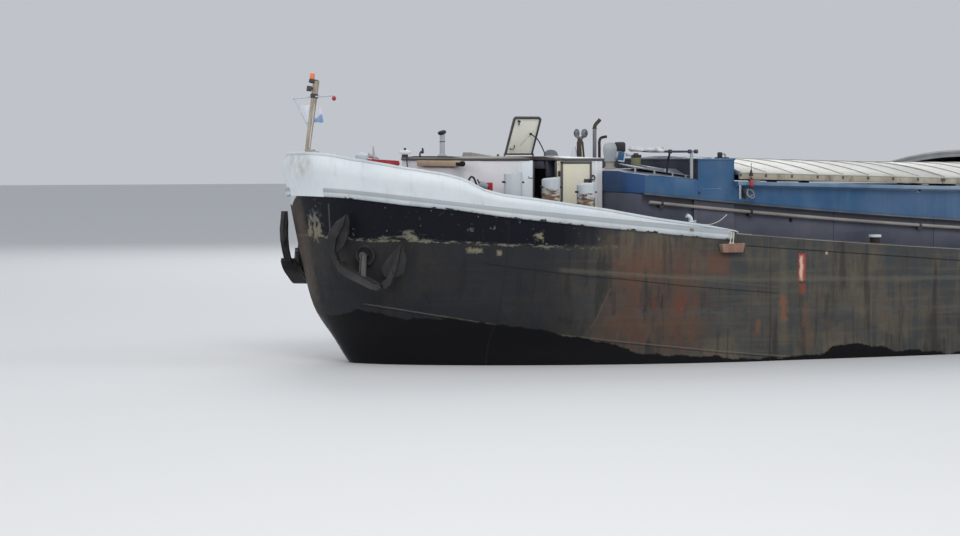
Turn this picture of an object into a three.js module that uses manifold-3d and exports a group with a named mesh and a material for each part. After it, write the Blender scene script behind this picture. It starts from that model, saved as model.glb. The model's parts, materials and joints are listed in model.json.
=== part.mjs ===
// A motor river barge, drawn at full size in millimetres and shown as a 1:2 scale model.
// +X points to the bow, +Y to port, +Z up from the flat bottom; the origin is amidships on the keel.

import * as THREE from 'three';
import { mergeVertices } from 'three/addons/utils/BufferGeometryUtils.js';
import Module from 'manifold-3d';

const wasm = await Module();
wasm.setup();

// Driving dimensions of the full-size ship

const modelScale = 1 / 2;
const seat = 0.6; // gap between a piece and what carries it
const halfBreadth = 3300;
const bow = { bulkhead: 19500, stem: 27380, steps: 16 };
const stern = { bulkhead: - 18900, shoulder: - 20500, end: - 27463, fullness: 2.4 };
const depth = { midship: 2500, bowRise: 1350, bowFrom: 8000, bowPower: 1.65, sternRise: 400, sternFrom: - 15000, sternPower: 1.6 };
const bilge = { flat: 2950, turn: 3200, low: 100, high: 350 };
const sideTank = { inner: 2550, sillHeight: 30, sillWidth: 40, ceiling: 30, ceilingGap: 12 };
const coaming = { inner: 2560, lower: 2700, upper: 2750, rail: 2900, railDepth: 70, knee: 14700, kneeTop: 3985, foreTop: 4100, slope: 0.004 };
const pipeRail = { out: 2768, radius: 30, belowLedge: 160 };
const cover = { count: 8, pitch: 4800, gap: 10, lap: 50, width: 2850, skirt: 50, hang: 40, eave: 180, crown: 290, shell: 60,
	raise: 250, highWidth: 2955, parked: 2100 };
const frontBox = { aft: 19550, fore: 20370, top: 4540 };
const aftBox = { fore: - 18960, aft: - 19500, top: 4250 };
const trunk = { fore: 21890, corner: 450, lidRise: 150 };
const foreHouse = { aft: 21900, fore: 24800, shoulder: 24100, half: 1745, frontHalf: 1000, wall: 50, top: 4500, roof: 45, eaves: 30 };
const doorway = { aft: 22900, fore: 23420 };
const foreDoor = { hinge: 22870, width: 700, thick: 45, gap: 10, bottom: 3460, top: 4488, knuckles: [ 3700, 4250 ], knuckleHalf: 50 };
const lid = { hingeY: 850, hingeZ: 4620, aft: 22940, fore: 23540, width: 800, thick: 45, round: 70, openDeg: 62 };
const mast = { x: 27330, pivotZ: 4620, length: 1400, rakeDeg: 8, footX: 27230 };
const flagHoist = { top: [ 27180, 5690 ], foot: [ 26880, 5150 ], y: - 935 };
const windlass = { x: 25880, axleHeight: 540, cheekY: 520, cheek: 60, axle: 45, drum: 170, head: 130 };
const hawse = { z: 2750, angle: 20.9, radius: 130, ring: 205 };
const aftHouse = { fore: - 19900, aft: - 25200, half: 2300, wall: 50, top: 3750, roof: 70, eaves: 60 };
const wheelhouse = { fore: - 20150, aft: - 23000, half: 1750, wall: 50, top: 5750, roof: 80, eaves: 140, sill: 4720, head: 5520 };
const propeller = { x: - 24850, z: 690, radius: 560, hub: 110, shaft: 60, blades: 4 };
const rudder = { stockX: - 25450, fore: - 25180, aft: - 26380, bottom: 115, top: 1480, thick: 120, stock: 60 };
const radar = { x: - 23900, pivotZ: 4080, top: 6450, pole: 60 };

// Paint and other finishes: colour, roughness, metalness

const finishes = {
	hullBlack: [ 0x1d1c1d, 0.6, 0.2 ], white: [ 0xdfe2e4, 0.45, 0.1 ], capGrey: [ 0xb9c0c3, 0.5, 0.1 ],
	blue: [ 0x2f587c, 0.45, 0.1 ], deckGrey: [ 0x55565c, 0.7, 0.1 ],
	coverCream: [ 0xc9c3b2, 0.5, 0.4 ], doorCream: [ 0xd8d0b4, 0.5, 0.0 ], red: [ 0xa03038, 0.5, 0.1 ],
	rust: [ 0x5c4437, 0.8, 0.3 ], pipeGrey: [ 0x9aa0a3, 0.5, 0.3 ], mastTan: [ 0xa39a88, 0.6, 0.1 ],
	flagWhite: [ 0xe9edf0, 0.9, 0.0 ], wood: [ 0x9a7a60, 0.8, 0.0 ], bronze: [ 0x9b7a45, 0.4, 0.8 ],
};

function finish( name ) {

	const [ color, roughness, metalness ] = finishes[ name ];
	return new THREE.MeshStandardMaterial( { color, roughness, metalness } );

}

// Shape helpers

function toSolid( geometry ) {

	const bare = new THREE.BufferGeometry();
	const loose = geometry.index ? geometry.toNonIndexed() : geometry;
	bare.setAttribute( 'position', loose.attributes.position.clone() );
	const merged = mergeVertices( bare, 0.01 );
	const vertProperties = new Float32Array( merged.attributes.position.array );
	const triVerts = new Uint32Array( merged.index.array );
	return new wasm.Manifold( new wasm.Mesh( { numProp: 3, vertProperties, triVerts } ) );

}

function fromSolid( solid ) {

	const mesh = solid.getMesh();
	const geometry = new THREE.BufferGeometry();
	geometry.setAttribute( 'position', new THREE.BufferAttribute( new Float32Array( mesh.vertProperties ), 3 ) );
	geometry.setIndex( new THREE.BufferAttribute( new Uint32Array( mesh.triVerts ), 1 ) );
	return geometry;

}

function join( ...geometries ) {

	return fromSolid( geometries.map( toSolid ).reduce( ( a, b ) => a.add( b ) ) );

}

function cut( geometry, ...tools ) {

	return fromSolid( tools.map( toSolid ).reduce( ( a, b ) => a.subtract( b ), toSolid( geometry ) ) );

}

function flipped( geometry ) {

	const copy = geometry.clone();
	const index = copy.index.array;
	for ( let i = 0; i < index.length; i += 3 ) [ index[ i ], index[ i + 1 ] ] = [ index[ i + 1 ], index[ i ] ];
	return copy;

}

function mirrored( geometry ) {

	const copy = geometry.clone();
	if ( ! copy.index ) copy.setIndex( [ ...Array( copy.attributes.position.count ).keys() ] );
	return flipped( copy.scale( 1, - 1, 1 ) );

}

function volume( geometry ) {

	const p = geometry.attributes.position;
	const corner = [ 0, 1, 2 ].map( () => new THREE.Vector3() );
	let sum = 0;
	for ( let i = 0; i < geometry.index.count; i += 3 ) {

		corner.forEach( ( v, k ) => v.fromBufferAttribute( p, geometry.index.getX( i + k ) ) );
		sum += corner[ 0 ].dot( corner[ 1 ].clone().cross( corner[ 2 ] ) );

	}

	return sum / 6;

}

// Cap of a ring whose points pair off across the centre line, first with last

function stripFaces( count ) {

	const faces = [];
	for ( let i = 0; i < count / 2 - 1; i ++ ) {

		const j = count - 1 - i;
		faces.push( [ i, i + 1, j ] );
		if ( j - 1 > i + 1 ) faces.push( [ i + 1, j - 1, j ] );

	}

	return faces;

}

// Cap of any flat ring, seen in the two coordinates that flat() gives

function fillFaces( ring, flat ) {

	const outline = ring.map( ( v ) => new THREE.Vector2( ...flat( v ) ) );
	const way = Math.sign( THREE.ShapeUtils.area( outline ) );
	return THREE.ShapeUtils.triangulateShape( outline, [] ).map( ( face ) => {

		const turn = Math.sign( THREE.ShapeUtils.area( face.map( ( i ) => outline[ i ] ) ) );
		return turn === way ? face : [ face[ 0 ], face[ 2 ], face[ 1 ] ];

	} );

}

// Closed skin through rings of [ x, y, z ] points that all have the same count

function skin( rings, flat = null ) {

	const count = rings[ 0 ].length;
	const last = ( rings.length - 1 ) * count;
	const index = [];
	for ( let i = 0; i < rings.length - 1; i ++ ) {

		for ( let j = 0; j < count; j ++ ) {

			const [ a, b ] = [ i * count + j, i * count + ( j + 1 ) % count ];
			index.push( a, b, b + count, a, b + count, a + count );

		}

	}

	const capOf = ( ring ) => ( flat ? fillFaces( ring, flat ) : stripFaces( count ) );
	for ( const [ a, b, c ] of capOf( rings[ 0 ] ) ) index.push( a, c, b );
	for ( const [ a, b, c ] of capOf( rings[ rings.length - 1 ] ) ) index.push( last + a, last + b, last + c );
	const geometry = new THREE.BufferGeometry();
	geometry.setAttribute( 'position', new THREE.Float32BufferAttribute( rings.flat( 2 ), 3 ) );
	geometry.setIndex( index );
	return volume( geometry ) < 0 ? flipped( geometry ) : geometry;

}

const acrossX = ( [ , y, z ] ) => [ y, z ];
const acrossY = ( [ x, , z ] ) => [ x, z ];
const acrossZ = ( [ x, y ] ) => [ x, y ];

function block( x0, x1, y0, y1, z0, z1 ) {

	const box = new THREE.BoxGeometry( Math.abs( x1 - x0 ), Math.abs( y1 - y0 ), Math.abs( z1 - z0 ) );
	return box.translate( ( x0 + x1 ) / 2, ( y0 + y1 ) / 2, ( z0 + z1 ) / 2 );

}

// Prism of an outline in ( x, y ) from one height to another, or in ( x, z ) from one y to another

function prismZ( outline, z0, z1 ) {

	return skin( [ z0, z1 ].map( ( z ) => outline.map( ( [ x, y ] ) => [ x, y, z ] ) ), acrossZ );

}

function prismY( outline, y0, y1 ) {

	return skin( [ y0, y1 ].map( ( y ) => outline.map( ( [ x, z ] ) => [ x, y, z ] ) ), acrossY );

}

// Round bar from one point to another; r1 differs from r0 on a taper

function rod( from, to, r0, sides = 12, r1 = r0 ) {

	const a = new THREE.Vector3( ...from );
	const b = new THREE.Vector3( ...to );
	const bar = new THREE.CylinderGeometry( r1, r0, a.distanceTo( b ), sides );
	const turn = new THREE.Quaternion().setFromUnitVectors( new THREE.Vector3( 0, 1, 0 ), b.clone().sub( a ).normalize() );
	return bar.applyQuaternion( turn ).translate( ...a.add( b ).multiplyScalar( 0.5 ).toArray() );

}

// Bent pipe through points, as round bars that meet in balls

function pipe( points, radius, sides = 10 ) {

	const bars = points.slice( 1 ).map( ( p, i ) => rod( points[ i ], p, radius, sides ) );
	const balls = points.slice( 1, - 1 ).map( ( p ) => new THREE.SphereGeometry( radius, sides, 6 ).translate( ...p ) );
	return join( ...bars, ...balls );

}

function lathe( profile, x, y, z, sides = 16 ) {

	const turned = new THREE.LatheGeometry( profile.map( ( [ r, h ] ) => new THREE.Vector2( r, h ) ), sides );
	const solid = toSolid( turned.rotateX( Math.PI / 2 ) );
	return fromSolid( solid ).translate( x, y, z );

}

// Lines of the ship

const clamp01 = ( t ) => Math.min( 1, Math.max( 0, t ) );

function deckZ( x ) {

	const d = depth;
	const rise = d.bowRise * clamp01( ( x - d.bowFrom ) / ( 27500 - d.bowFrom ) ) ** d.bowPower;
	return d.midship + rise + d.sternRise * clamp01( ( d.sternFrom - x ) / 12500 ) ** d.sternPower;

}

function coamingZ( x ) {

	const c = coaming;
	if ( x < c.knee ) return c.kneeTop - ( c.knee - x ) * c.slope;
	return c.kneeTop + ( x - c.knee ) * ( c.foreTop - c.kneeTop ) / ( bow.bulkhead - c.knee );

}

const ledgeZ = ( x ) => deckZ( x ) + 600 + 40 * clamp01( ( x - 14000 ) / 8000 );

// Point of a bow waterline: turn runs from 0 at the stem to 1 at the bulkhead

function bowPoint( level, turn ) {

	const angle = turn * Math.PI / 2;
	const power = 2 / level.fullness;
	const x = bow.bulkhead + ( level.stem - bow.bulkhead ) * Math.max( 0, Math.cos( angle ) ) ** power;
	return [ turn === 1 ? bow.bulkhead : x, level.half * Math.sin( angle ) ** power ];

}

const deckLevel = { stem: bow.stem, fullness: 2.62, half: halfBreadth };

// Half breadth at deck height, at any x

function halfAt( x ) {

	if ( x > bow.bulkhead ) {

		const t = ( x - bow.bulkhead ) / ( bow.stem - bow.bulkhead );
		return halfBreadth * ( 1 - t ** deckLevel.fullness ) ** ( 1 / deckLevel.fullness );

	}

	const t = clamp01( ( stern.shoulder - x ) / ( stern.shoulder - stern.end ) );
	return halfBreadth * ( 1 - t ** stern.fullness ) ** ( 1 / stern.fullness );

}

// The hull

function bowHull() {

	// z, stem position, fullness and half breadth of each waterline
	const levels = [
		{ z: 0, stem: 25300, fullness: 1.55, half: bilge.flat },
		{ z: bilge.low, stem: 25750, fullness: 1.55, half: bilge.turn },
		{ z: bilge.high, stem: 26100, fullness: 1.6, half: halfBreadth },
		{ z: 650, stem: 26400, fullness: 1.62, half: halfBreadth },
		{ z: 1100, stem: 26700, fullness: 1.66, half: halfBreadth },
		{ z: 1730, stem: 27050, fullness: 1.98, half: halfBreadth },
		{ z: 2700, stem: 27200, fullness: 2.38, half: halfBreadth },
		deckLevel,
	];
	const turns = Array.from( { length: bow.steps + 1 }, ( _, i ) => 1 - i / bow.steps );
	const rings = levels.map( ( level ) => {

		const side = turns.map( ( turn ) => {

			const [ x, y ] = bowPoint( level, turn );
			return [ x, y, level.z ?? deckZ( x ) ];

		} );
		const other = side.slice( 0, - 1 ).reverse().map( ( [ x, y, z ] ) => [ x, - y, z ] );
		return [ ...side, ...other ];

	} );
	const f = foreHouse;
	const pit = block( f.aft + 200, f.shoulder + 300, - 1500, 1500, 1900, 4200 );
	const holes = [ 1, - 1 ].map( ( side ) => hawseTool( side, hawse.radius, - 700, 400 ) );
	const collars = [ 1, - 1 ].map( ( side ) => hawseTool( side, hawse.ring, - 300, 40 ) );
	return cut( join( skin( rings ), ...collars ), pit, ...holes );

}

// Where the hawse pipe leaves the bow, and which way it faces

function hawsePlace( side ) {

	const level = { stem: 27208, fullness: 2.391, half: halfBreadth };
	const turn = hawse.angle / 90;
	const [ x, y ] = bowPoint( level, turn );
	const [ x1, y1 ] = bowPoint( level, turn + 0.01 );
	const out = new THREE.Vector3( y1 - y, x - x1, 0 ).normalize();
	return { at: new THREE.Vector3( x, y * side, hawse.z ), out: new THREE.Vector3( out.x, out.y * side, - 0.12 ).normalize() };

}

function hawseTool( side, radius, from, to ) {

	const { at, out } = hawsePlace( side );
	const a = at.clone().addScaledVector( out, from ).toArray();
	const b = at.clone().addScaledVector( out, to ).toArray();
	return rod( a, b, radius, 20 );

}

// Stations of the parallel body, close together where the deck line bends

const sideStations = [ bow.bulkhead, 18600, 17400, 16000, 14700, 13200, 11500, 9900, 8000, 3000, - 4500, - 12000, - 15000, - 17000,
	stern.bulkhead ];

function hullSide() {

	const s = sideTank;
	const rings = sideStations.map( ( x ) => {

		const z = deckZ( x );
		const inBow = x === bow.bulkhead ? x - seat : x;
		const end = x === stern.bulkhead ? x + seat : inBow;
		return [ [ s.inner, bilge.high + seat ], [ halfBreadth, bilge.high + seat ], [ halfBreadth, z + s.sillHeight ],
			[ halfBreadth - s.sillWidth, z + s.sillHeight ], [ halfBreadth - s.sillWidth, z ], [ s.inner, z ] ]
			.map( ( [ y, h ] ) => [ end, y, h ] );

	} );
	// single mooring posts along the side deck
	const posts = [ 16530, 6000, - 3500, - 13000 ].map( ( x ) => rod( [ x, 3130, deckZ( x ) - 20 ], [ x, 3130, deckZ( x ) + 190 ], 95, 14 ) );
	return join( skin( rings, acrossX ), ...posts );

}

function hullBottom() {

	const b = bilge;
	const s = sideTank;
	const half = [ [ b.flat, 0 ], [ b.turn, b.low ], [ halfBreadth, b.high ], [ s.inner - s.ceilingGap, b.high ],
		[ s.inner - s.ceilingGap, b.high + s.ceiling ] ];
	const outline = [ ...half, ...half.slice().reverse().map( ( [ y, z ] ) => [ - y, z ] ) ];
	const ends = [ bow.bulkhead - seat, stern.bulkhead + seat ];
	return skin( ends.map( ( x ) => outline.map( ( [ y, z ] ) => [ x, y, z ] ) ), acrossX );

}

const sternSteps = [ 0, 0.12, 0.25, 0.38, 0.5, 0.6, 0.7, 0.79, 0.87, 0.93, 0.97, 0.996 ];

// Height of the hull's underside on the centre line, aft

function counterZ( x ) {

	return 1750 * Math.sin( clamp01( ( - 20900 - x ) / 5000 ) * Math.PI / 2 ) ** 2;

}

function sternHull() {

	const stations = [ stern.bulkhead, ...sternSteps.map( ( t ) => stern.shoulder + t * ( stern.end - stern.shoulder ) ) ];
	const rings = stations.map( ( x ) => {

		const b = halfAt( x );
		const t = clamp01( ( stern.shoulder - x ) / ( stern.shoulder - stern.end ) );
		const keel = counterZ( x );
		const half = [ [ b, deckZ( x ) ], [ b * ( 1 - 0.12 * t ), keel + bilge.high + 150 * t ],
			[ b * ( bilge.turn / halfBreadth - 0.3 * t ), keel + bilge.low ], [ b * ( bilge.flat / halfBreadth - 0.5 * t ), keel ] ];
		return [ ...half.map( ( [ y, z ] ) => [ x, y, z ] ), ...half.slice().reverse().map( ( [ y, z ] ) => [ x, - y, z ] ) ];

	} );
	const p = propeller;
	const skeg = prismY( [ [ - 20800, 0 ], [ - 20800, 300 ], [ - 23000, 1500 ], [ - 24400, 1700 ], [ - 24560, 1400 ], [ - 24560, 100 ],
		[ - 25700, 100 ], [ - 25700, 0 ] ], - 100, 100 );
	const boss = rod( [ - 23600, 0, p.z ], [ - 24640, 0, p.z ], 190, 24, 150 );
	const bore = rod( [ - 24200, 0, p.z ], [ - 24800, 0, p.z ], p.shaft + 1, 24 );
	const trunkBore = rod( [ rudder.stockX, 0, rudder.top ], [ rudder.stockX, 0, 2100 ], rudder.stock + 1.2, 24 );
	const heel = rod( [ rudder.stockX, 0, 20 ], [ rudder.stockX, 0, 140 ], 41, 24 );
	const engineRoom = block( - 20000, - 22200, - 1300, 1300, 500, 3500 );
	return cut( join( skin( rings ), skeg, boss ), bore, trunkBore, heel, engineRoom );

}

// Rails and bulwarks: a section carried along the deck edge.
// A stop holds the deck edge's point and its outward direction in plan.

function bowStops() {

	const turns = Array.from( { length: 2 * bow.steps + 1 }, ( _, i ) => 1 - i / bow.steps );
	const lip = { x: bow.bulkhead + 250, turn: 0.985 };
	return turns.map( ( turn ) => {

		const side = Math.sign( turn ) || 1;
		const size = Math.min( Math.abs( turn ), lip.turn );
		const [ x, y ] = bowPoint( deckLevel, size );
		const [ xa, ya ] = bowPoint( deckLevel, Math.min( 1, size + 0.01 ) );
		const [ xb, yb ] = size < 0.01 ? [ x, - ya ] : bowPoint( deckLevel, size - 0.01 );
		const out = new THREE.Vector2( ya - yb, xb - xa ).normalize();
		if ( turn === 0 ) out.set( 1, 0 );
		return { x, y: y * side, nx: out.x, ny: turn === 0 ? 0 : out.y * side };

	} );

}

function carried( stops, section ) {

	const rings = stops.map( ( stop ) => section( stop ).map( ( [ n, z ] ) => [ stop.x + stop.nx * n, stop.y + stop.ny * n, z ] ) );
	const first = stops[ 0 ];
	const local = ( [ x, y, z ] ) => [ ( x - first.x ) * first.nx + ( y - first.y ) * first.ny, z ];
	const end = stops[ stops.length - 1 ];
	const localEnd = ( [ x, y, z ] ) => [ ( x - end.x ) * end.nx + ( y - end.y ) * end.ny, z ];
	return skin( rings, ( v ) => ( Math.abs( v[ 1 ] - first.y ) < Math.abs( v[ 1 ] - end.y ) ? local( v ) : localEnd( v ) ) );

}

// Height of the bow bulwark over the deck: x against height, straight between

const bowBulwarkHeights = [ [ 19600, 60 ], [ 20160, 104 ], [ 20530, 138 ], [ 21600, 184 ], [ 22290, 236 ], [ 22620, 263 ], [ 24020, 330 ],
	[ 24680, 352 ], [ 25020, 414 ], [ 25350, 565 ], [ 25690, 627 ], [ 26380, 676 ], [ 27050, 754 ], [ 27500, 860 ] ];

function along( table, x ) {

	const i = Math.max( 1, table.findIndex( ( row ) => row[ 0 ] >= x ) );
	const [ [ x0, v0 ], [ x1, v1 ] ] = [ table[ i - 1 ], table[ i ] ];
	return v0 + ( v1 - v0 ) * clamp01( ( x - x0 ) / ( x1 - x0 ) );

}

// One plate, 70 thick, with a rubbing strake at its foot and a round cap on top.
// It leans out by flare, and its upper part comes back in by tuck.

function bulwarkSection( z, height, flare, tuck, strake, drop ) {

	const plate = 70;
	const cap = 38;
	const top = z + height;
	const shoulder = z + 45 + ( height - cap - 45 ) * 0.68;
	const rim = flare - tuck;
	const foot = z + 1.5; // clear of the deck's facets
	return [ [ - plate, foot ], [ seat, foot ], [ seat, z - drop ], [ strake, z - drop + 15 ], [ strake, z + 25 ], [ 8, z + 45 ],
		[ flare, shoulder ], [ rim, top - cap ], [ rim + 18, top - cap * 0.6 ], [ rim + 10, top ], [ rim - plate - 10, top ],
		[ rim - plate - 18, top - cap * 0.6 ], [ rim - plate, top - cap ], [ flare - plate, shoulder ], [ 8 - plate, z + 45 ] ];

}

function bowBulwark() {

	return carried( bowStops(), ( stop ) => {

		const height = along( bowBulwarkHeights, stop.x );
		const forward = clamp01( ( stop.x - 22000 ) / 5000 );
		const strake = 12 + 48 * clamp01( ( Math.abs( stop.y ) - 500 ) / 700 );
		const tuck = 75 * forward * clamp01( ( Math.abs( stop.y ) - 350 ) / 500 );
		return bulwarkSection( deckZ( stop.x ), height, 20 + 100 * forward, tuck, strake, 5 + 112 * ( 1 - forward ) ** 0.75 );

	} );

}

function sternBulwark() {

	const side = sternSteps.slice( 2 ).map( ( t ) => {

		const x = stern.shoulder + t * ( stern.end - stern.shoulder );
		const slope = ( halfAt( x + 5 ) - halfAt( x - 5 ) ) / 10;
		const out = new THREE.Vector2( - slope, 1 ).normalize();
		return { x, y: halfAt( x ), nx: out.x, ny: out.y };

	} );
	const back = { x: stern.end + 3, y: 0, nx: - 1, ny: 0 };
	const stops = [ ...side, back, ...side.slice().reverse().map( ( s ) => ( { ...s, y: - s.y, ny: - s.ny } ) ) ];
	return carried( stops, ( stop ) => bulwarkSection( deckZ( stop.x ), 620 - 200 * clamp01( ( stop.x + 24000 ) / 2000 ), 40, 0, 50, 80 ) );

}

// Hold coaming: grey foot, blue overhanging top, flat rail, and a pipe along its side

function sideCoaming() {

	const c = coaming;
	const ends = { fore: frontBox.aft - seat, aft: aftBox.fore + seat };
	const stations = [ ends.fore, ...sideStations.filter( ( x ) => x < ends.fore && x > ends.aft ), ends.aft ];
	const rings = stations.map( ( x ) => {

		const foot = deckZ( x ) + seat;
		const top = coamingZ( x );
		const ledge = ledgeZ( x );
		return [ [ c.inner, foot ], [ c.lower, foot ], [ c.lower, ledge - 20 ], [ c.upper, ledge ], [ c.upper, top - c.railDepth - 40 ],
			[ c.rail, top - c.railDepth ], [ c.rail, top ], [ c.inner, top ] ].map( ( [ y, z ] ) => [ x, y, z ] );

	} );
	const r = pipeRail;
	const round = Array.from( { length: 8 }, ( _, i ) => [ r.radius * Math.cos( i * Math.PI / 4 ), r.radius * Math.sin( i * Math.PI / 4 ) ] );
	const railRings = stations.map( ( x ) => round.map( ( [ y, z ] ) => [ x, r.out + y, ledgeZ( x ) - r.belowLedge + z ] ) );
	const clips = Array.from( { length: 11 }, ( _, i ) => 18500 - i * 3600 )
		.map( ( x ) => block( x - 25, x + 25, c.lower - 20, r.out, ledgeZ( x ) - r.belowLedge - 20, ledgeZ( x ) - r.belowLedge + 20 ) );
	return join( skin( rings, acrossX ), skin( railRings, acrossX ), ...clips );

}

function endBox( box, hull ) {

	const c = coaming;
	const low = Math.min( deckZ( box.aft ), deckZ( box.fore ) ) - 60;
	const body = block( box.aft, box.fore, - c.upper, c.upper, low, box.top );
	const lip = block( box.aft - 15, box.fore + 15, - c.upper - 15, c.upper + 15, box.top - 40, box.top );
	return seated( join( body, lip ), hull );

}

// A piece whose foot follows the deck below it, one seat gap above

function seated( geometry, hull ) {

	return cut( geometry, hull.clone().translate( 0, 0, seat ) );

}

// Raised trunk between the fore house and the hold, with a hipped lid

function foreTrunk( hull ) {

	const t = trunk;
	const aft = frontBox.fore + seat + 15;
	const c = coaming;
	const rimZ = ( x, y ) => 4130 + ( x - frontBox.fore ) * 0.082 + ( c.upper - Math.abs( y ) ) * 0.11;
	const outline = ( inset ) => {

		const half = c.upper - inset;
		const fore = t.fore - inset * 0.4;
		const round = Math.max( 60, t.corner - inset );
		const arc = [ 0, 22.5, 45, 67.5, 90 ].map( ( a ) => a * Math.PI / 180 );
		const side = [ [ aft, half ], [ ( aft + fore ) / 2, half ],
			...arc.map( ( a ) => [ fore - round + round * Math.sin( a ), half - round + round * Math.cos( a ) ] ) ];
		return [ ...side, ...side.slice().reverse().map( ( [ x, y ] ) => [ x, - y ] ) ];

	};
	const ring = ( inset, height ) => outline( inset ).map( ( [ x, y ] ) => [ x, y, height( x, y ) ] );
	const rings = [
		ring( 50, ( x ) => deckZ( x ) - 80 ), ring( 50, ( x ) => ledgeZ( x ) - 20 ), ring( 0, ( x ) => ledgeZ( x ) ),
		ring( 0, rimZ ), ring( 60, rimZ ), ring( 60, ( x, y ) => rimZ( x, y ) - 60 ), ring( 130, ( x, y ) => rimZ( x, y ) - 60 ),
		ring( 160, ( x, y ) => rimZ( x, y ) - 10 ), ring( 800, () => 4130 + t.lidRise + 60 ),
	];
	return seated( skin( rings ), hull );

}

// Hatch covers

function coverShape( index, raised ) {

	const c = cover;
	const up = raised ? c.raise : 0;
	const width = raised ? c.highWidth : c.width;
	const lap = raised ? - c.lap : c.gap;
	const shift = index === 3 ? c.parked : 0;
	const fore = 19500 - ( index - 1 ) * c.pitch - lap + shift;
	const aft = 19500 - index * c.pitch + lap + shift;
	const arch = Array.from( { length: 13 }, ( _, i ) => i / 6 - 1 );
	const outer = arch.map( ( t ) => [ - t * width, c.eave + up + c.crown * ( 1 - t * t ) ] );
	const inner = arch.slice().reverse().map( ( t ) => [ - t * ( width - c.skirt ), c.eave + up - c.shell + c.crown * ( 1 - t * t ) ] );
	const outline = [ [ width, c.hang ], ...outer, [ - width, c.hang ], [ - width + c.skirt, c.hang ], ...inner, [ width - c.skirt, c.hang ] ];
	const rings = [ aft, fore ].map( ( x ) => outline.map( ( [ y, z ] ) => [ x, y, z + coamingZ( x ) ] ) );
	const pads = [ aft + 400, fore - 400 ].flatMap( ( x ) => [ 1, - 1 ].map( ( side ) => {

		const z = coamingZ( x );
		const reach = raised ? [ 2865, 2930 ] : [ 2650, 2830 ];
		const foot = z + seat + 80 * Math.abs( coamingZ( x + 1 ) - z );
		return block( x - 80, x + 80, side * reach[ 0 ], side * reach[ 1 ], foot, z + c.hang + 40 );

	} ) );
	return join( skin( rings, acrossX ), ...pads );

}

// Fore house

function houseOutline( inset ) {

	const f = foreHouse;
	const side = [ [ f.aft + inset, f.half - inset ], [ f.shoulder, f.half - inset ], [ f.shoulder + 380, f.half - 130 - inset ],
		[ f.fore - 110, f.frontHalf + 280 - inset ], [ f.fore - inset, f.frontHalf ] ];
	return [ ...side, ...side.slice().reverse().map( ( [ x, y ] ) => [ x, - y ] ) ];

}

function foreHouseWalls( hull ) {

	const f = foreHouse;
	const shell = cut( prismZ( houseOutline( 0 ), 3200, f.top ), prismZ( houseOutline( f.wall ), 3100, f.top + 50 ) );
	const door = block( doorway.aft, doorway.fore, f.half - 200, f.half + 200, 3000, f.top + 50 );
	return seated( join( cut( shell, door ), ...doorLugs() ), hull );

}

function foreHouseRoof() {

	const f = foreHouse;
	const crown = 35;
	const level = ( inset, z ) => houseOutline( inset ).map( ( [ x, y ] ) => [ x, y, z ] );
	const slab = skin( [ level( - f.eaves, f.top + seat ), level( - f.eaves, f.top + f.roof ), level( 500, f.top + f.roof + crown ) ] );
	const hatch = block( lid.aft + 8, lid.fore - 40, lid.hingeY + 60, f.half + 200, f.top - 50, f.top + 300 );
	const ears = [ lid.aft - seat - 20, lid.fore + seat ].map( ( x ) =>
		block( x, x + 20, lid.hingeY - 25, lid.hingeY + 25, f.top + 40, lid.hingeZ + 20 ) );
	return join( cut( slab, hatch ), ...ears );

}

// Lug with a short pin under each hinge knuckle of the door

function doorLugs() {

	const { hinge, gap, thick, knuckles, knuckleHalf } = foreDoor;
	const y = foreHouse.half + gap + thick / 2;
	return knuckles.map( ( z ) => {

		const top = z - knuckleHalf - seat;
		return join( rod( [ hinge, y, top - 45 ], [ hinge, y, top ], 10, 12 ), block( hinge - 10, hinge + 10, foreHouse.half - 20, y, top - 45, top ) );

	} );

}

function foreHouseDoor() {

	const d = foreDoor;
	const y = foreHouse.half + d.gap;
	const leaf = block( d.hinge - 15 - d.width, d.hinge - 15, y, y + d.thick, d.bottom, d.top );
	const knuckles = d.knuckles.map( ( z ) =>
		rod( [ d.hinge, y + d.thick / 2, z - d.knuckleHalf ], [ d.hinge, y + d.thick / 2, z + d.knuckleHalf ], 22, 12 ) );
	return join( leaf, ...knuckles );

}

function foreHouseLid() {

	const l = lid;
	const [ free, r ] = [ l.hingeY + l.width, l.round ];
	const outline = [ [ l.aft, l.hingeY - 12 ], [ l.fore, l.hingeY - 12 ], [ l.fore, free - r ], [ l.fore - r * 0.3, free - r * 0.3 ],
		[ l.fore - r, free ], [ l.aft + r, free ], [ l.aft + r * 0.3, free - r * 0.3 ], [ l.aft, free - r ] ];
	const plate = prismZ( outline, l.hingeZ - 10, l.hingeZ - 10 + l.thick );
	const inside = block( l.aft + 50, l.fore - 50, l.hingeY + 50, l.hingeY + l.width - 50, l.hingeZ - 60, l.hingeZ + 10 );
	const open = cut( plate, inside ).translate( 0, - l.hingeY, - l.hingeZ ).rotateX( l.openDeg * Math.PI / 180 );
	const stayX = l.aft + 28;
	const stay = pipe( [ [ stayX, 215, 390 ], [ stayX, 400, 285 ], [ stayX, 515, 95 ], [ stayX, 560, - 30 ] ], 12, 6 );
	return join( open, stay ).translate( 0, l.hingeY, l.hingeZ );

}

// Deck gear

function windlassPlace() {

	return { x: windlass.x, z: deckZ( windlass.x ) };

}

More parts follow.
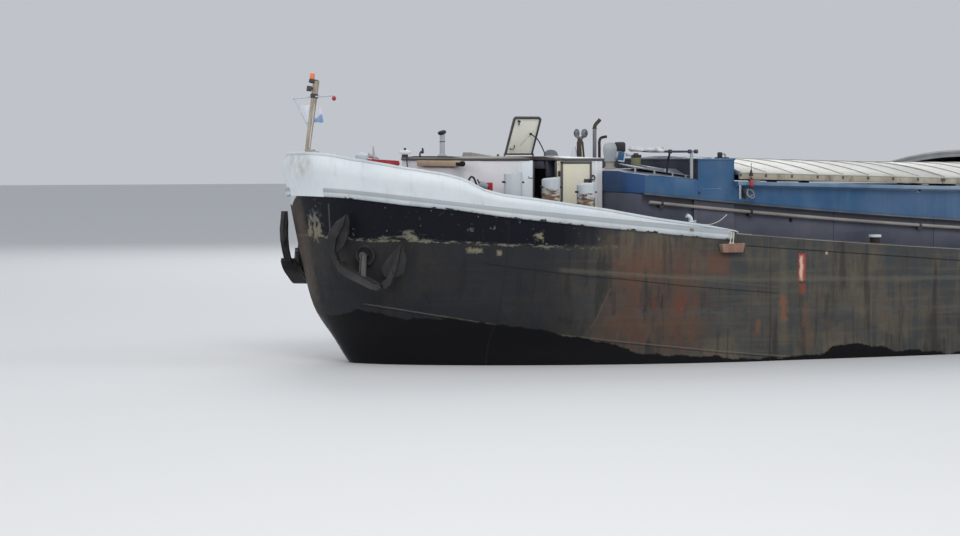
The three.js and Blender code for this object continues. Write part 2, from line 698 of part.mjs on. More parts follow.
function windlassFrame( hull ) {

	const w = windlass;
	const { x, z } = windlassPlace();
	const axle = z + w.axleHeight;
	const bore = ( w.axle + 0.8 ) / Math.cos( Math.PI / 16 );
	const base = block( x - 380, x + 380, - 620, 620, z - 120, z + 70 );
	const cheekOutline = [ [ x - 300, z ], [ x + 300, z ], [ x + 240, axle + 20 ], [ x + 165, axle + 200 ], [ x, axle + 262 ],
		[ x - 165, axle + 200 ], [ x - 240, axle + 20 ] ];
	const cheeks = [ 1, - 1 ].map( ( side ) => prismY( cheekOutline, side * ( w.cheekY - w.cheek / 2 ), side * ( w.cheekY + w.cheek / 2 ) ) );
	// long cover over the drum, higher at its fore end
	const hoodOf = ( s ) => [ [ x + 410 - s, axle - 60 ], [ x + 410 - s, axle + 255 - s ], [ x + 360 - s, axle + 320 - s ],
		[ x - 170, axle + 290 - s ], [ x - 230 + s, axle + 225 - s ], [ x - 230 + s, axle - 60 ] ];
	const hood = prismY( [ ...hoodOf( 0 ), ...hoodOf( 22 ).reverse() ], - w.cheekY, w.cheekY );
	const hole = rod( [ x, - 900, axle ], [ x, 900, axle ], bore, 16 );
	return seated( cut( join( base, ...cheeks, hood ), hole ), hull );

}

function windlassDrum() {

	const w = windlass;
	const { x, z } = windlassPlace();
	const axle = z + w.axleHeight;
	const bar = ( y0, y1, r ) => rod( [ x, y0, axle ], [ x, y1, axle ], r, 16 );
	const side = w.cheekY - w.cheek / 2 - 12;
	const heads = [ 1, - 1 ].map( ( s ) => join( bar( s * 580, s * 740, w.head * 0.75 ), bar( s * 740, s * 770, w.head ) ) );
	const flanges = [ 1, - 1 ].map( ( s ) => bar( s * ( side - 30 ), s * side, w.drum + 30 ) );
	return join( bar( - 760, 760, w.axle ), bar( - side, side, w.drum * 0.8 ), ...flanges, ...heads );

}

// Anchor: crown, two bent arms with palms, and the shank, drawn flat with x aft and z up, then set against the bow.
// Canted as it was hauled home, with its fore arm the higher.

function anchorShape( side ) {

	const slab = ( outline, near, far ) => prismY( outline, near, far );
	const crown = slab( [ [ - 470, - 190 ], [ - 420, - 300 ], [ - 290, - 400 ], [ 190, - 620 ], [ 340, - 655 ], [ 450, - 600 ], [ 400, - 520 ],
		[ 310, - 540 ], [ 200, - 480 ], [ - 240, - 260 ], [ - 350, - 200 ], [ - 390, - 130 ] ], 40, 330 );
	const foreArm = slab( [ [ - 390, - 300 ], [ - 540, - 170 ], [ - 610, 20 ], [ - 640, 230 ], [ - 560, 440 ], [ - 225, 780 ], [ - 300, 560 ],
		[ - 470, 300 ], [ - 520, 60 ], [ - 470, - 100 ], [ - 350, - 200 ] ], 110, 240 );
	const forePalm = slab( [ [ - 560, - 30 ], [ - 680, 200 ], [ - 640, 420 ], [ - 450, 640 ], [ - 225, 780 ], [ - 190, 620 ], [ - 210, 420 ],
		[ - 330, 180 ] ], 155, 195 );
	const aftArm = slab( [ [ 320, - 640 ], [ 500, - 620 ], [ 600, - 520 ], [ 760, - 200 ], [ 880, 270 ], [ 780, 100 ], [ 640, - 220 ],
		[ 520, - 430 ], [ 400, - 520 ] ], 110, 240 );
	const aftPalm = slab( [ [ 470, - 400 ], [ 640, - 420 ], [ 850, - 340 ], [ 930, - 60 ], [ 880, 270 ], [ 740, 140 ], [ 540, - 60 ],
		[ 410, - 240 ] ], 155, 195 );
	const shank = rod( [ - 20, 150, - 440 ], [ 0, 70, - 10 ], 75, 14, 65 );
	const neck = rod( [ 0, 110, - 20 ], [ 0, - 400, 20 ], 80, 20 );
	const flat = join( crown, foreArm, forePalm, aftArm, aftPalm, shank, neck );
	const { at, out } = hawsePlace( side );
	const level = out.clone().setZ( 0 ).normalize();
	const aft = new THREE.Vector3( 0, 0, 1 ).cross( level ).multiplyScalar( side );
	const rise = new THREE.Vector3( 0, 0, 1 ).addScaledVector( level, 0.14 ).normalize();
	const basis = new THREE.Matrix4().makeBasis( aft, level, rise );
	const placed = flat.applyMatrix4( basis );
	const upright = basis.determinant() < 0 ? flipped( placed ) : placed;
	return upright.translate( at.x + level.x * 19, at.y + level.y * 19, at.z );

}

function mastFoot( hull ) {

	const m = mast;
	const cheeks = [ 1, - 1 ].map( ( s ) => block( m.footX - 110, m.footX + 50, s * 78, s * 98, 3700, m.pivotZ + 60 ) );
	const web = block( m.footX - 110, m.footX - 80, - 98, 98, 3700, 4300 );
	const pin = rod( [ m.footX, - 110, m.pivotZ ], [ m.footX, 110, m.pivotZ ], 18, 12 );
	return seated( join( ...cheeks, web, pin ), hull );

}

function bowMast() {

	const m = mast;
	const lean = m.rakeDeg * Math.PI / 180;
	const at = ( h, y = 0 ) => [ m.footX + ( m.x - m.footX ) - h * Math.sin( lean ), y, m.pivotZ + h * Math.cos( lean ) ];
	const pole = rod( at( - 20 ), at( m.length ), 50, 14, 62 );
	const shoe = block( m.footX - 45, m.x, - 70, 70, m.pivotZ - 60, m.pivotZ + 90 );
	const hole = rod( [ m.footX, - 150, m.pivotZ ], [ m.footX, 150, m.pivotZ ], 18.9, 12 );
	const yard = rod( [ ...at( 1080, - 950 ) ], [ ...at( 1110, 900 ) ], 16, 10 );
	const ahead = ( h, d ) => [ at( h )[ 0 ] + d, 0, at( h )[ 2 ] ];
	const lamp = join( rod( ahead( m.length - 20, 0 ), ahead( m.length - 20, 100 ), 30, 12 ), rod( ahead( m.length - 50, 90 ), ahead( m.length + 30, 90 ), 58, 14 ),
		rod( ahead( m.length + 20, 90 ), ahead( m.length + 150, 90 ), 44, 14 ) );
	const low = rod( at( 1240 ), at( 1310 ), 78, 14 );
	const bracket = join( rod( at( 1230 ), ahead( 1230, 150 ), 18, 8 ), rod( ahead( 1200, 130 ), ahead( 1290, 130 ), 50, 12 ) );
	const f = flagHoist;
	const halyard = rod( [ f.top[ 0 ], f.y, f.top[ 1 ] ], [ f.foot[ 0 ], f.y, f.foot[ 1 ] ], 6, 6 );
	return join( cut( join( pole, shoe ), hole ), yard, lamp, low, bracket, halyard );

}

function flagShape() {

	// blown aft from the slanting halyard
	const { top, foot, y } = flagHoist;
	const onHalyard = ( t ) => [ top[ 0 ] + ( foot[ 0 ] - top[ 0 ] ) * t - 8, top[ 1 ] + ( foot[ 1 ] - top[ 1 ] ) * t ];
	const outline = [ onHalyard( 0.2 ), [ 26821, 5545 ], [ 26641, 5530 ], [ 26568, 5440 ], [ 26517, 5270 ], [ 26726, 5190 ], onHalyard( 0.95 ) ];
	return prismY( outline, y - 6, y + 6 );

}

function bollardRow( rows, hull ) {

	// each post: x, y, radius, height
	const first = rows[ 0 ];
	const last = rows[ rows.length - 1 ];
	const wide = 185;
	const strip = prismZ( [ [ last[ 0 ] - 300, last[ 1 ] - wide ], [ first[ 0 ] + 260, first[ 1 ] - wide ],
		[ first[ 0 ] + 260, first[ 1 ] + wide - 20 ], [ last[ 0 ] - 300, last[ 1 ] + wide ] ], deckZ( last[ 0 ] ) - 150, deckZ( first[ 0 ] ) + 200 );
	const plane = hull.clone().translate( 0, 0, 40 );
	const plate = fromSolid( toSolid( strip ).intersect( toSolid( plane ) ) );
	const posts = rows.map( ( [ x, y, r, h ] ) => {

		const z = deckZ( x );
		const post = rod( [ x, y, z - 80 ], [ x, y, z + h ], r, 16 );
		const pin = rod( [ x - r - 90, y, z + h * 0.75 ], [ x + r + 90, y, z + h * 0.75 ], 22, 8 );
		const topCut = block( x - 400, x + 400, y - 400, y + 400, 0, 300 ).translate( - x, - y, 0 ).rotateY( 0.1 ).translate( x, y, z + h - 20 );
		return join( cut( post, topCut ), pin );

	} );
	return seated( join( plate, ...posts ), hull );

}

function chimney( roofTop ) {

	const [ x, y ] = [ 24560, 200 ];
	const base = roofTop + seat;
	const flue = rod( [ x, y, base ], [ x, y, base + 420 ], 50, 16 );
	const foot = rod( [ x, y, base ], [ x, y, base + 25 ], 90, 16 );
	const cap = rod( [ x - 8, y, base + 410 ], [ x + 16, y, base + 470 ], 76, 16, 70 );
	return join( flue, foot, cap );

}

// Two exhausts on one footplate

function exhausts( z ) {

	const foot = block( 21070, 21290, 230, 370, z + seat, z + 40 );
	const tall = pipe( [ [ 21240, 300, z + 20 ], [ 21240, 300, z + 800 ], [ 21110, 300, z + 960 ] ], 42, 12 );
	const low = pipe( [ [ 21130, 300, z + 20 ], [ 21130, 300, z + 560 ], [ 20970, 300, z + 625 ] ], 28, 10 );
	return join( foot, tall, low );

}

function cowlVent( z ) {

	const [ x, y ] = [ 21240, 900 ];
	const body = lathe( [ [ 0, 0 ], [ 120, 0 ], [ 120, 25 ], [ 80, 35 ], [ 80, 110 ], [ 128, 140 ], [ 136, 220 ], [ 136, 370 ], [ 118, 450 ],
		[ 70, 500 ], [ 0, 515 ] ], x, y, z + seat );
	const mouth = rod( [ x, y, z + 250 ], [ x - 210, y + 40, z + 235 ], 96, 14, 108 );
	const hollow = rod( [ x - 40, y + 8, z + 247 ], [ x - 260, y + 50, z + 231 ], 82, 14, 96 );
	return cut( join( body, mouth ), hollow );

}

// Two rounded cowls back to back on one post with a wide foot

function signalPost( z ) {

	const [ x, y ] = [ 21490, 150 ];
	const post = lathe( [ [ 0, 0 ], [ 195, 0 ], [ 190, 200 ], [ 80, 420 ], [ 66, 460 ], [ 66, 600 ], [ 0, 600 ] ], x, y, z + seat );
	const cowls = [ 1, - 1 ].map( ( s ) => {

		const head = [ x - s * 20, y + s * 118, z + 685 ];
		const pod = new THREE.SphereGeometry( 1, 16, 10 ).scale( 74, 66, 92 ).translate( ...head );
		return join( pod, rod( [ x, y, z + 560 ], [ head[ 0 ], head[ 1 ], head[ 2 ] - 30 ], 34, 12 ) );

	} );
	return join( post, ...cowls );

}

// Aft house and wheelhouse

function shellHouse( h, bottom, openings, hull ) {

	const outer = block( h.aft, h.fore, - h.half, h.half, bottom, h.top );
	const inner = block( h.aft + h.wall, h.fore - h.wall, - h.half + h.wall, h.half - h.wall, bottom - 100, h.top + 100 );
	const walls = cut( outer, inner, ...openings );
	return hull ? seated( walls, hull ) : walls;

}

// Sill of the aft door, high enough for the open leaf to clear the rising deck
const aftSill = deckZ( aftHouse.aft - 720 ) + 20;

function aftHouseWalls( hull ) {

	const h = aftHouse;
	const door = block( h.aft - 100, h.aft + 200, - 360, 360, aftSill, 3600 );
	const lights = [ - 20700, - 21900, - 23100, - 24300 ].flatMap( ( x ) => [ 1, - 1 ].map( ( s ) =>
		block( x - 260, x + 260, s * ( h.half - 200 ), s * ( h.half + 200 ), 3080, 3480 ) ) );
	return shellHouse( h, 2300, [ door, ...lights ], hull );

}

function aftHouseRoof() {

	const h = aftHouse;
	const e = h.eaves;
	const w = wheelhouse;
	const slab = block( h.aft - e, h.fore + e, - h.half - e, h.half + e, h.top + seat, h.top + h.roof );
	const stairs = block( w.aft + 300, w.aft + 1100, - 400, 400, h.top - 100, h.top + 200 );
	return cut( slab, stairs );

}

function aftHouseDoor() {

	const h = aftHouse;
	return block( h.aft + 1, h.aft + h.wall - 1, - 350, 359.2, aftSill + 5, 3590 );

}

function wheelhouseWalls() {

	const w = wheelhouse;
	const floor = aftHouse.top + aftHouse.roof + seat;
	const bars = [ - w.half + 150, - 620, 620, w.half - 150 ];
	const fronts = bars.slice( 1 ).map( ( y, i ) => block( w.fore - 200, w.fore + 200, bars[ i ] + 45, y - 45, w.sill, w.head ) );
	const backs = [ [ - 1500, - 500 ], [ 500, 1500 ] ].map( ( [ a, b ] ) => block( w.aft - 200, w.aft + 200, a, b, w.sill, w.head ) );
	const sides = [ 1, - 1 ].flatMap( ( s ) => [
		block( - 20350, - 21750, s * ( w.half - 200 ), s * ( w.half + 200 ), w.sill, w.head ),
		block( - 21900, - 22700, s * ( w.half - 200 ), s * ( w.half + 200 ), floor + 60, 5600 ),
	] );
	return shellHouse( w, floor, [ ...fronts, ...backs, ...sides ], null );

}

function wheelhouseRoof() {

	const w = wheelhouse;
	const e = w.eaves;
	const level = ( grow, z ) => [ [ w.fore + grow, w.half + grow ], [ w.aft - grow, w.half + grow ], [ w.aft - grow, - w.half - grow ],
		[ w.fore + grow, - w.half - grow ] ].map( ( [ x, y ] ) => [ x, y, z ] );
	return skin( [ level( e, w.top + seat ), level( e, w.top + w.roof - 20 ), level( - 300, w.top + w.roof + 20 ) ], acrossZ );

}

function wheelhouseDoor() {

	const w = wheelhouse;
	const floor = aftHouse.top + aftHouse.roof + seat;
	const leaf = block( - 22690, - 21900 - seat, w.half - w.wall + 1, w.half - 1, floor + 70, 5590 );
	const light = block( - 22590, - 22000, w.half - 200, w.half + 200, w.sill, w.head );
	return cut( leaf, light );

}

function helmConsole() {

	const floor = aftHouse.top + aftHouse.roof + seat;
	const desk = prismY( [ [ - 20300, floor ], [ - 20300, 4600 ], [ - 20500, 4640 ], [ - 20950, 4520 ], [ - 20950, 4440 ], [ - 20800, floor ] ], - 900, 900 );
	const wheel = new THREE.TorusGeometry( 330, 26, 6, 18 ).rotateY( Math.PI / 2 ).translate( - 21090, 0, 4450 );
	const spokes = [ 0, 60, 120 ].map( ( a ) => {

		const [ c, s ] = [ 325 * Math.cos( a * Math.PI / 180 ), 325 * Math.sin( a * Math.PI / 180 ) ];
		return rod( [ - 21090, - c, 4450 - s ], [ - 21090, c, 4450 + s ], 16, 8 );

	} );
	const hub = rod( [ - 20880, 0, 4450 ], [ - 21120, 0, 4450 ], 45, 14 );
	return join( desk, wheel, hub, ...spokes );

}

function radarMast() {

	const r = radar;
	const top = aftHouse.top + aftHouse.roof + seat;
	const foot = [ 1, - 1 ].map( ( s ) => block( r.x - 90, r.x + 90, s * 82, s * 102, top, r.pivotZ + 70 ) );
	const plate = block( r.x - 150, r.x + 150, - 150, 150, top, top + 20 );
	const pin = rod( [ r.x, - 115, r.pivotZ ], [ r.x, 115, r.pivotZ ], 20, 12 );
	const hole = rod( [ r.x, - 115, r.pivotZ ], [ r.x, 115, r.pivotZ ], 20.9, 12 );
	const pole = rod( [ r.x, 0, r.pivotZ - 120 ], [ r.x, 0, r.top ], r.pole, 16 );
	const table = block( r.x - 160, r.x + 160, - 160, 160, r.top - 40, r.top );
	const yard = rod( [ r.x, - 700, r.top - 500 ], [ r.x, 700, r.top - 500 ], 20, 10 );
	const lamp = rod( [ r.x - 100, 0, r.top - 300 ], [ r.x - 100, 0, r.top - 180 ], 55, 14 );
	const bearing = cut( rod( [ r.x, 0, r.top - 10 ], [ r.x, 0, r.top + 110 ], 60, 20 ), rod( [ r.x, 0, r.top + 40 ], [ r.x, 0, r.top + 130 ], 36, 24 ) );
	return { foot: join( ...foot, plate, pin ), pole: join( cut( pole, hole ), table, yard, lamp, bearing ) };

}

function radarScanner() {

	const r = radar;
	const z = r.top + 122;
	const arm = block( r.x - 60, r.x + 60, - 620, 620, z, z + 90 );
	return join( arm, rod( [ r.x, 0, r.top + 50 ], [ r.x, 0, z + 20 ], 35, 24 ) );

}

// Drive

function propellerShape() {

	const p = propeller;
	const hub = rod( [ p.x + 130, 0, p.z ], [ p.x - 130, 0, p.z ], p.hub, 20, 80 );
	const shaft = rod( [ p.x + 450, 0, p.z ], [ p.x, 0, p.z ], p.shaft, 24 );
	const blades = Array.from( { length: p.blades }, ( _, i ) => {

		// half breadth and twist of the blade against its radius
		const rings = [ [ 70, 90, 62 ], [ 260, 170, 45 ], [ 430, 175, 33 ], [ p.radius, 70, 26 ] ].map( ( [ r, half, twist ] ) => {

			const t = twist * Math.PI / 180;
			return [ [ half, 10 ], [ - half, 10 ], [ - half, - 10 ], [ half, - 10 ] ].map( ( [ u, v ] ) =>
				[ u * Math.sin( t ) + v * Math.cos( t ), u * Math.cos( t ) - v * Math.sin( t ), r ] );

		} );
		return skin( rings, acrossZ ).rotateX( i * 2 * Math.PI / p.blades ).translate( p.x, 0, p.z );

	} );
	return join( hub, shaft, ...blades );

}

function rudderShape() {

	const r = rudder;
	const half = r.thick / 2;
	const outline = [ [ r.fore, 0 ], [ r.fore - 120, half ], [ r.stockX - 100, half ], [ r.aft, 12 ], [ r.aft, - 12 ], [ r.stockX - 100, - half ],
		[ r.fore - 120, - half ] ];
	const blade = prismZ( outline, r.bottom, r.top );
	const stock = rod( [ r.stockX, 0, r.top - 20 ], [ r.stockX, 0, 2050 ], r.stock, 24 );
	const pin = rod( [ r.stockX, 0, 40 ], [ r.stockX, 0, r.bottom + 20 ], 40, 24 );
	return join( blade, stock, pin );

}

function fender() {

	const z = 2830;
	return block( 19700, 20150, halfBreadth - 1.8, halfBreadth + 130, z - 85, z + 85 );

}

// The whole ship

const barge = new THREE.Group();
barge.scale.setScalar( modelScale );

function add( name, geometry, finishName ) {

	const mesh = new THREE.Mesh( geometry, finish( finishName ) );
	mesh.name = name;
	barge.add( mesh );
	return geometry;

}

function addPair( name, geometry, finishName ) {

	add( `${ name }_port`, geometry, finishName );
	add( `${ name }_starboard`, mirrored( geometry ), finishName );

}

const bowSolid = add( 'hull_bow', bowHull(), 'hullBlack' );
const sternSolid = add( 'hull_stern', sternHull(), 'hullBlack' );
add( 'hull_bottom', hullBottom(), 'hullBlack' );
addPair( 'hull_side', hullSide(), 'hullBlack' );
add( 'bulwark_bow', bowBulwark(), 'white' );
add( 'bulwark_stern', sternBulwark(), 'white' );
addPair( 'coaming', sideCoaming(), 'blue' );
add( 'coaming_front_box', endBox( frontBox, bowSolid ), 'blue' );
add( 'coaming_aft_box', endBox( aftBox, sternSolid ), 'blue' );
add( 'fore_trunk', foreTrunk( bowSolid ), 'blue' );

for ( let i = 1; i <= cover.count; i ++ ) {

	const raised = i === 3 || i === 5 || i === 7;
	add( `hatch_cover_${ i }`, coverShape( i, raised ), 'coverCream' );

}

add( 'fore_house_walls', foreHouseWalls( bowSolid ), 'white' );
add( 'fore_house_roof', foreHouseRoof(), 'white' );
add( 'fore_house_door', foreHouseDoor(), 'doorCream' );
add( 'fore_house_lid', foreHouseLid(), 'doorCream' );
add( 'windlass_frame', windlassFrame( bowSolid ), 'red' );
add( 'windlass_drum', windlassDrum(), 'rust' );
add( 'anchor_port', anchorShape( 1 ), 'rust' );
add( 'anchor_starboard', anchorShape( - 1 ), 'rust' );
add( 'bow_mast_foot', mastFoot( bowSolid ), 'mastTan' );
add( 'bow_mast', bowMast(), 'mastTan' );
add( 'flag', flagShape(), 'flagWhite' );

// x, y, radius and height of the mooring posts on the foredeck
const forePosts = [ [ 24230, 2440, 172, 800 ], [ 23500, 2580, 172, 770 ], [ 22830, 2730, 172, 730 ] ];
const aftPosts = [ [ - 25550, 1900, 130, 520 ], [ - 26050, 1650, 130, 520 ] ];
addPair( 'bollards_fore', bollardRow( forePosts, bowSolid ), 'white' );
addPair( 'bollards_aft', bollardRow( aftPosts, sternSolid ), 'white' );

const trunkTop = 4130 + trunk.lidRise + 60;
add( 'chimney', chimney( foreHouse.top + foreHouse.roof + 35 ), 'pipeGrey' );
add( 'exhausts', exhausts( trunkTop ), 'pipeGrey' );
add( 'cowl_vent', cowlVent( trunkTop ), 'capGrey' );
add( 'signal_post', signalPost( trunkTop ), 'pipeGrey' );

add( 'aft_house_walls', aftHouseWalls( sternSolid ), 'white' );
add( 'aft_house_roof', aftHouseRoof(), 'deckGrey' );
add( 'aft_house_door', aftHouseDoor(), 'doorCream' );
add( 'wheelhouse_walls', wheelhouseWalls(), 'white' );
add( 'wheelhouse_roof', wheelhouseRoof(), 'white' );
addPair( 'wheelhouse_door', wheelhouseDoor(), 'wood' );
add( 'helm_console', helmConsole(), 'wood' );
const { foot: radarFoot, pole: radarPole } = radarMast();
add( 'radar_mast_foot', radarFoot, 'white' );
add( 'radar_mast', radarPole, 'white' );
add( 'radar_scanner', radarScanner(), 'white' );
add( 'engine', block( - 20250, - 21950, - 500, 500, 500 + seat, 1750 ), 'deckGrey' );
add( 'propeller', propellerShape(), 'bronze' );
add( 'rudder', rudderShape(), 'hullBlack' );
addPair( 'fender', fender(), 'wood' );

export default barge;
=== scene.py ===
# Looks of the river barge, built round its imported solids.
# Lengths are the full-size ship's, in metres; finishPiece brings each piece to the model's scale.
import json
import math

import bmesh
import bpy
from mathutils import Matrix, Vector

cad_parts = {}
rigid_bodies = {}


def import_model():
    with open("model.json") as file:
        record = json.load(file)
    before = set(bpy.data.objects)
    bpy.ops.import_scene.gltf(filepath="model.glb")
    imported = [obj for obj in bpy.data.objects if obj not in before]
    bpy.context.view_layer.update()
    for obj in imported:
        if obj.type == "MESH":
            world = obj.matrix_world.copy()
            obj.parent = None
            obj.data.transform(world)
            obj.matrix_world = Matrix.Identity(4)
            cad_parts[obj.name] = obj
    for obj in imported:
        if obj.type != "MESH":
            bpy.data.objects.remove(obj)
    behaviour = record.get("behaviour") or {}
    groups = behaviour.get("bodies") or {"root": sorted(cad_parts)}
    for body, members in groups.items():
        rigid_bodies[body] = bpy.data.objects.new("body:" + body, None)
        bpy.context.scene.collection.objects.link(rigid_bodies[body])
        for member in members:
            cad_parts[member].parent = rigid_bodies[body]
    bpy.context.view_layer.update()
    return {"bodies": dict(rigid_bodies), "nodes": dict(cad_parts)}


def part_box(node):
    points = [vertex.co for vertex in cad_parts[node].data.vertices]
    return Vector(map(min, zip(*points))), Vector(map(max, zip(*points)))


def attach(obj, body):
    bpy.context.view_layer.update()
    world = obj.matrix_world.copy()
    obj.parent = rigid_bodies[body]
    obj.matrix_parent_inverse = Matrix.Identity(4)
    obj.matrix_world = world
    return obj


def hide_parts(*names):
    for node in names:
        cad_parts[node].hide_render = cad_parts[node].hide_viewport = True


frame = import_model()
nodes = frame["nodes"]
shipScale = 0.5
scene = bpy.context.scene

# ---- lines of the ship, as the solids have them
ship = {"half": 3.3, "bulkhead": 19.5, "stem": 27.38, "deck": 2.5, "bowRise": 1.35, "bowFrom": 8.0, "bowPower": 1.65,
        "sternRise": 0.4, "sternFrom": -15.0, "sternPower": 1.6, "shoulder": -20.5, "sternEnd": -27.463,
        "sternFullness": 2.4, "knee": 14.7, "kneeTop": 3.985, "foreTop": 4.1, "slope": 0.004}
# height, stem position, fullness and half breadth of each waterline of the bow; the last one is the deck edge
bowLevels = [(0.0, 25.3, 1.55, 2.95), (0.1, 25.75, 1.55, 3.2), (0.35, 26.1, 1.6, 3.3), (0.65, 26.4, 1.62, 3.3),
             (1.1, 26.7, 1.66, 3.3), (1.73, 27.05, 1.98, 3.3), (2.7, 27.2, 2.38, 3.3), (None, 27.38, 2.62, 3.3)]
deckLevel = bowLevels[-1]


def clamp01(t):
    return min(1.0, max(0.0, t))


def deckZ(x):
    s = ship
    rise = s["bowRise"] * clamp01((x - s["bowFrom"]) / (27.5 - s["bowFrom"])) ** s["bowPower"]
    return s["deck"] + rise + s["sternRise"] * clamp01((s["sternFrom"] - x) / 12.5) ** s["sternPower"]


def coamingZ(x):
    s = ship
    if x < s["knee"]:
        return s["kneeTop"] - (s["knee"] - x) * s["slope"]
    return s["kneeTop"] + (x - s["knee"]) * (s["foreTop"] - s["kneeTop"]) / (s["bulkhead"] - s["knee"])


def ledgeZ(x):
    return deckZ(x) + 0.6 + 0.04 * clamp01((x - 14) / 8)


def bowPoint(level, turn):
    angle = turn * math.pi / 2
    power = 2 / level[2]
    x = ship["bulkhead"] + (level[1] - ship["bulkhead"]) * max(0.0, math.cos(angle)) ** power
    return (ship["bulkhead"] if turn == 1 else x), level[3] * math.sin(angle) ** power


def halfAt(x):
    s = ship
    if x > s["bulkhead"]:
        t = clamp01((x - s["bulkhead"]) / (s["stem"] - s["bulkhead"]))
        return s["half"] * (1 - t ** deckLevel[2]) ** (1 / deckLevel[2])
    t = clamp01((s["shoulder"] - x) / (s["shoulder"] - s["sternEnd"]))
    return s["half"] * (1 - t ** s["sternFullness"]) ** (1 / s["sternFullness"])


def valueAlong(table, x):
    for (x0, v0), (x1, v1) in zip(table, table[1:]):
        if x <= x1:
            return v0 + (v1 - v0) * clamp01((x - x0) / (x1 - x0))
    return table[-1][1]


# ---- shader helpers
def tone(red, green, blue):
    return tuple(((c / 255 + 0.055) / 1.055) ** 2.4 if c > 10 else c / 3295 for c in (red, green, blue)) + (1.0,)


def addNode(tree, kind, values=None, **settings):
    made = tree.nodes.new(kind)
    for key, value in settings.items():
        setattr(made, key, value)
    for key, value in (values or {}).items():
        if isinstance(value, bpy.types.NodeSocket):
            tree.links.new(value, made.inputs[key])
        else:
            made.inputs[key].default_value = value
    return made


def calc(tree, operation, a, b=0.0):
    return addNode(tree, "ShaderNodeMath", {0: a, 1: b}, operation=operation).outputs[0]


def plus(tree, a, b):
    return calc(tree, "ADD", a, b)


def minus(tree, a, b):
    return calc(tree, "SUBTRACT", a, b)


def times(tree, *values):
    result = values[0]
    for value in values[1:]:
        result = calc(tree, "MULTIPLY", result, value)
    return result


def shake(tree, noise, amount):
    # a noise round nought
    return times(tree, minus(tree, noise, 0.5), amount)


def blendColour(tree, mask, a, b):
    return addNode(tree, "ShaderNodeMix", {0: mask, 6: a, 7: b}, data_type="RGBA").outputs[2]


def layer(tree, colour, shade, *masks):
    # a shade laid over the colour where all masks are strong
    return blendColour(tree, times(tree, *masks), colour, tone(*shade))


def spread(tree, value, low, high, toLow=0.0, toHigh=1.0):
    return addNode(tree, "ShaderNodeMapRange", {0: value, 1: low, 2: high, 3: toLow, 4: toHigh}).outputs[0]


def noiseOf(tree, place, scale, detail=4.0, rough=0.55):
    values = {"Vector": place, "Scale": scale, "Detail": detail, "Roughness": rough}
    return addNode(tree, "ShaderNodeTexNoise", values).outputs[0]


def stretched(tree, place, x, y, z):
    return addNode(tree, "ShaderNodeVectorMath", {0: place, 1: (x, y, z)}, operation="MULTIPLY").outputs[0]


def newGroup(name, inputs, outputs):
    group = bpy.data.node_groups.new(name, "ShaderNodeTree")
    for label, kind in inputs:
        group.interface.new_socket(name=label, in_out="INPUT", socket_type="NodeSocket" + kind)
    for label, kind in outputs:
        group.interface.new_socket(name=label, in_out="OUTPUT", socket_type="NodeSocket" + kind)
    return group, group.nodes.new("NodeGroupInput").outputs, group.nodes.new("NodeGroupOutput").inputs


def makePaintWear():
    group, given, result = newGroup("paintWear", [("Position", "Vector"), ("Paint", "Color"), ("Under", "Color"),
            ("Grime", "Color"), ("Chips", "Float"), ("Chip Size", "Float"), ("Streaks", "Float"), ("Fade", "Float"),
            ("Roughness", "Float")], [("Colour", "Color"), ("Roughness", "Float"), ("Height", "Float")])
    place = given["Position"]
    patch = noiseOf(group, place, 0.7, 3)
    cloud = noiseOf(group, place, 3.3, 6)
    fine = noiseOf(group, place, 42, 5)
    pale = blendColour(group, 0.4, given["Paint"], (1, 1, 1, 1))
    colour = blendColour(group, times(group, spread(group, patch, 0.35, 0.68), given["Fade"]), given["Paint"], pale)
    runs = noiseOf(group, stretched(group, place, 11, 11, 0.6), 1, 5, 0.62)
    run = times(group, spread(group, runs, 0.52, 0.76), spread(group, cloud, 0.36, 0.62), given["Streaks"])
    smudge = times(group, spread(group, cloud, 0.5, 0.8), given["Streaks"], 0.5)
    colour = blendColour(group, calc(group, "MAXIMUM", run, smudge), colour, given["Grime"])
    bits = noiseOf(group, place, times(group, given["Chip Size"], 3.0), 9, 0.66)
    edge = minus(group, 0.8, times(group, given["Chips"], 0.3))
    chip = spread(group, bits, edge, plus(group, edge, 0.012))
    rim = spread(group, bits, minus(group, edge, 0.035), edge)
    colour = blendColour(group, times(group, rim, 0.45), colour, given["Grime"])
    colour = blendColour(group, chip, colour, given["Under"])
    group.links.new(colour, result["Colour"])
    rough = plus(group, given["Roughness"], shake(group, fine, 0.35))
    group.links.new(plus(group, rough, times(group, plus(group, chip, run), 0.22)), result["Roughness"])
    height = plus(group, times(group, fine, 0.25), times(group, cloud, 0.5))
    group.links.new(minus(group, height, times(group, chip, 0.9)), result["Height"])
    return group


def makeRustRuns():
    group, given, result = newGroup("rustRuns", [("Position", "Vector"), ("Amount", "Float"), ("Scale", "Float")],
                                    [("Mask", "Float")])
    place = given["Position"]
    runs = noiseOf(group, stretched(group, place, 13, 13, 0.7), given["Scale"], 5, 0.6)
    where = noiseOf(group, place, 1.1, 3)
    mask = times(group, spread(group, runs, 0.58, 0.74), spread(group, where, 0.47, 0.6), given["Amount"])
    group.links.new(mask, result["Mask"])
    return group


paintWear = makePaintWear()
rustRuns = makeRustRuns()
materials = {}


def startMaterial(name, metallic=0.0):
    material = bpy.data.materials.new(name)
    material.use_nodes = True
    tree = material.node_tree
    shader = tree.nodes["Principled BSDF"]
    shader.inputs["Metallic"].default_value = metallic
    coords = addNode(tree, "ShaderNodeTexCoord").outputs["Object"]
    materials[name] = material
    return tree, shader, stretched(tree, coords, 1 / shipScale, 1 / shipScale, 1 / shipScale)


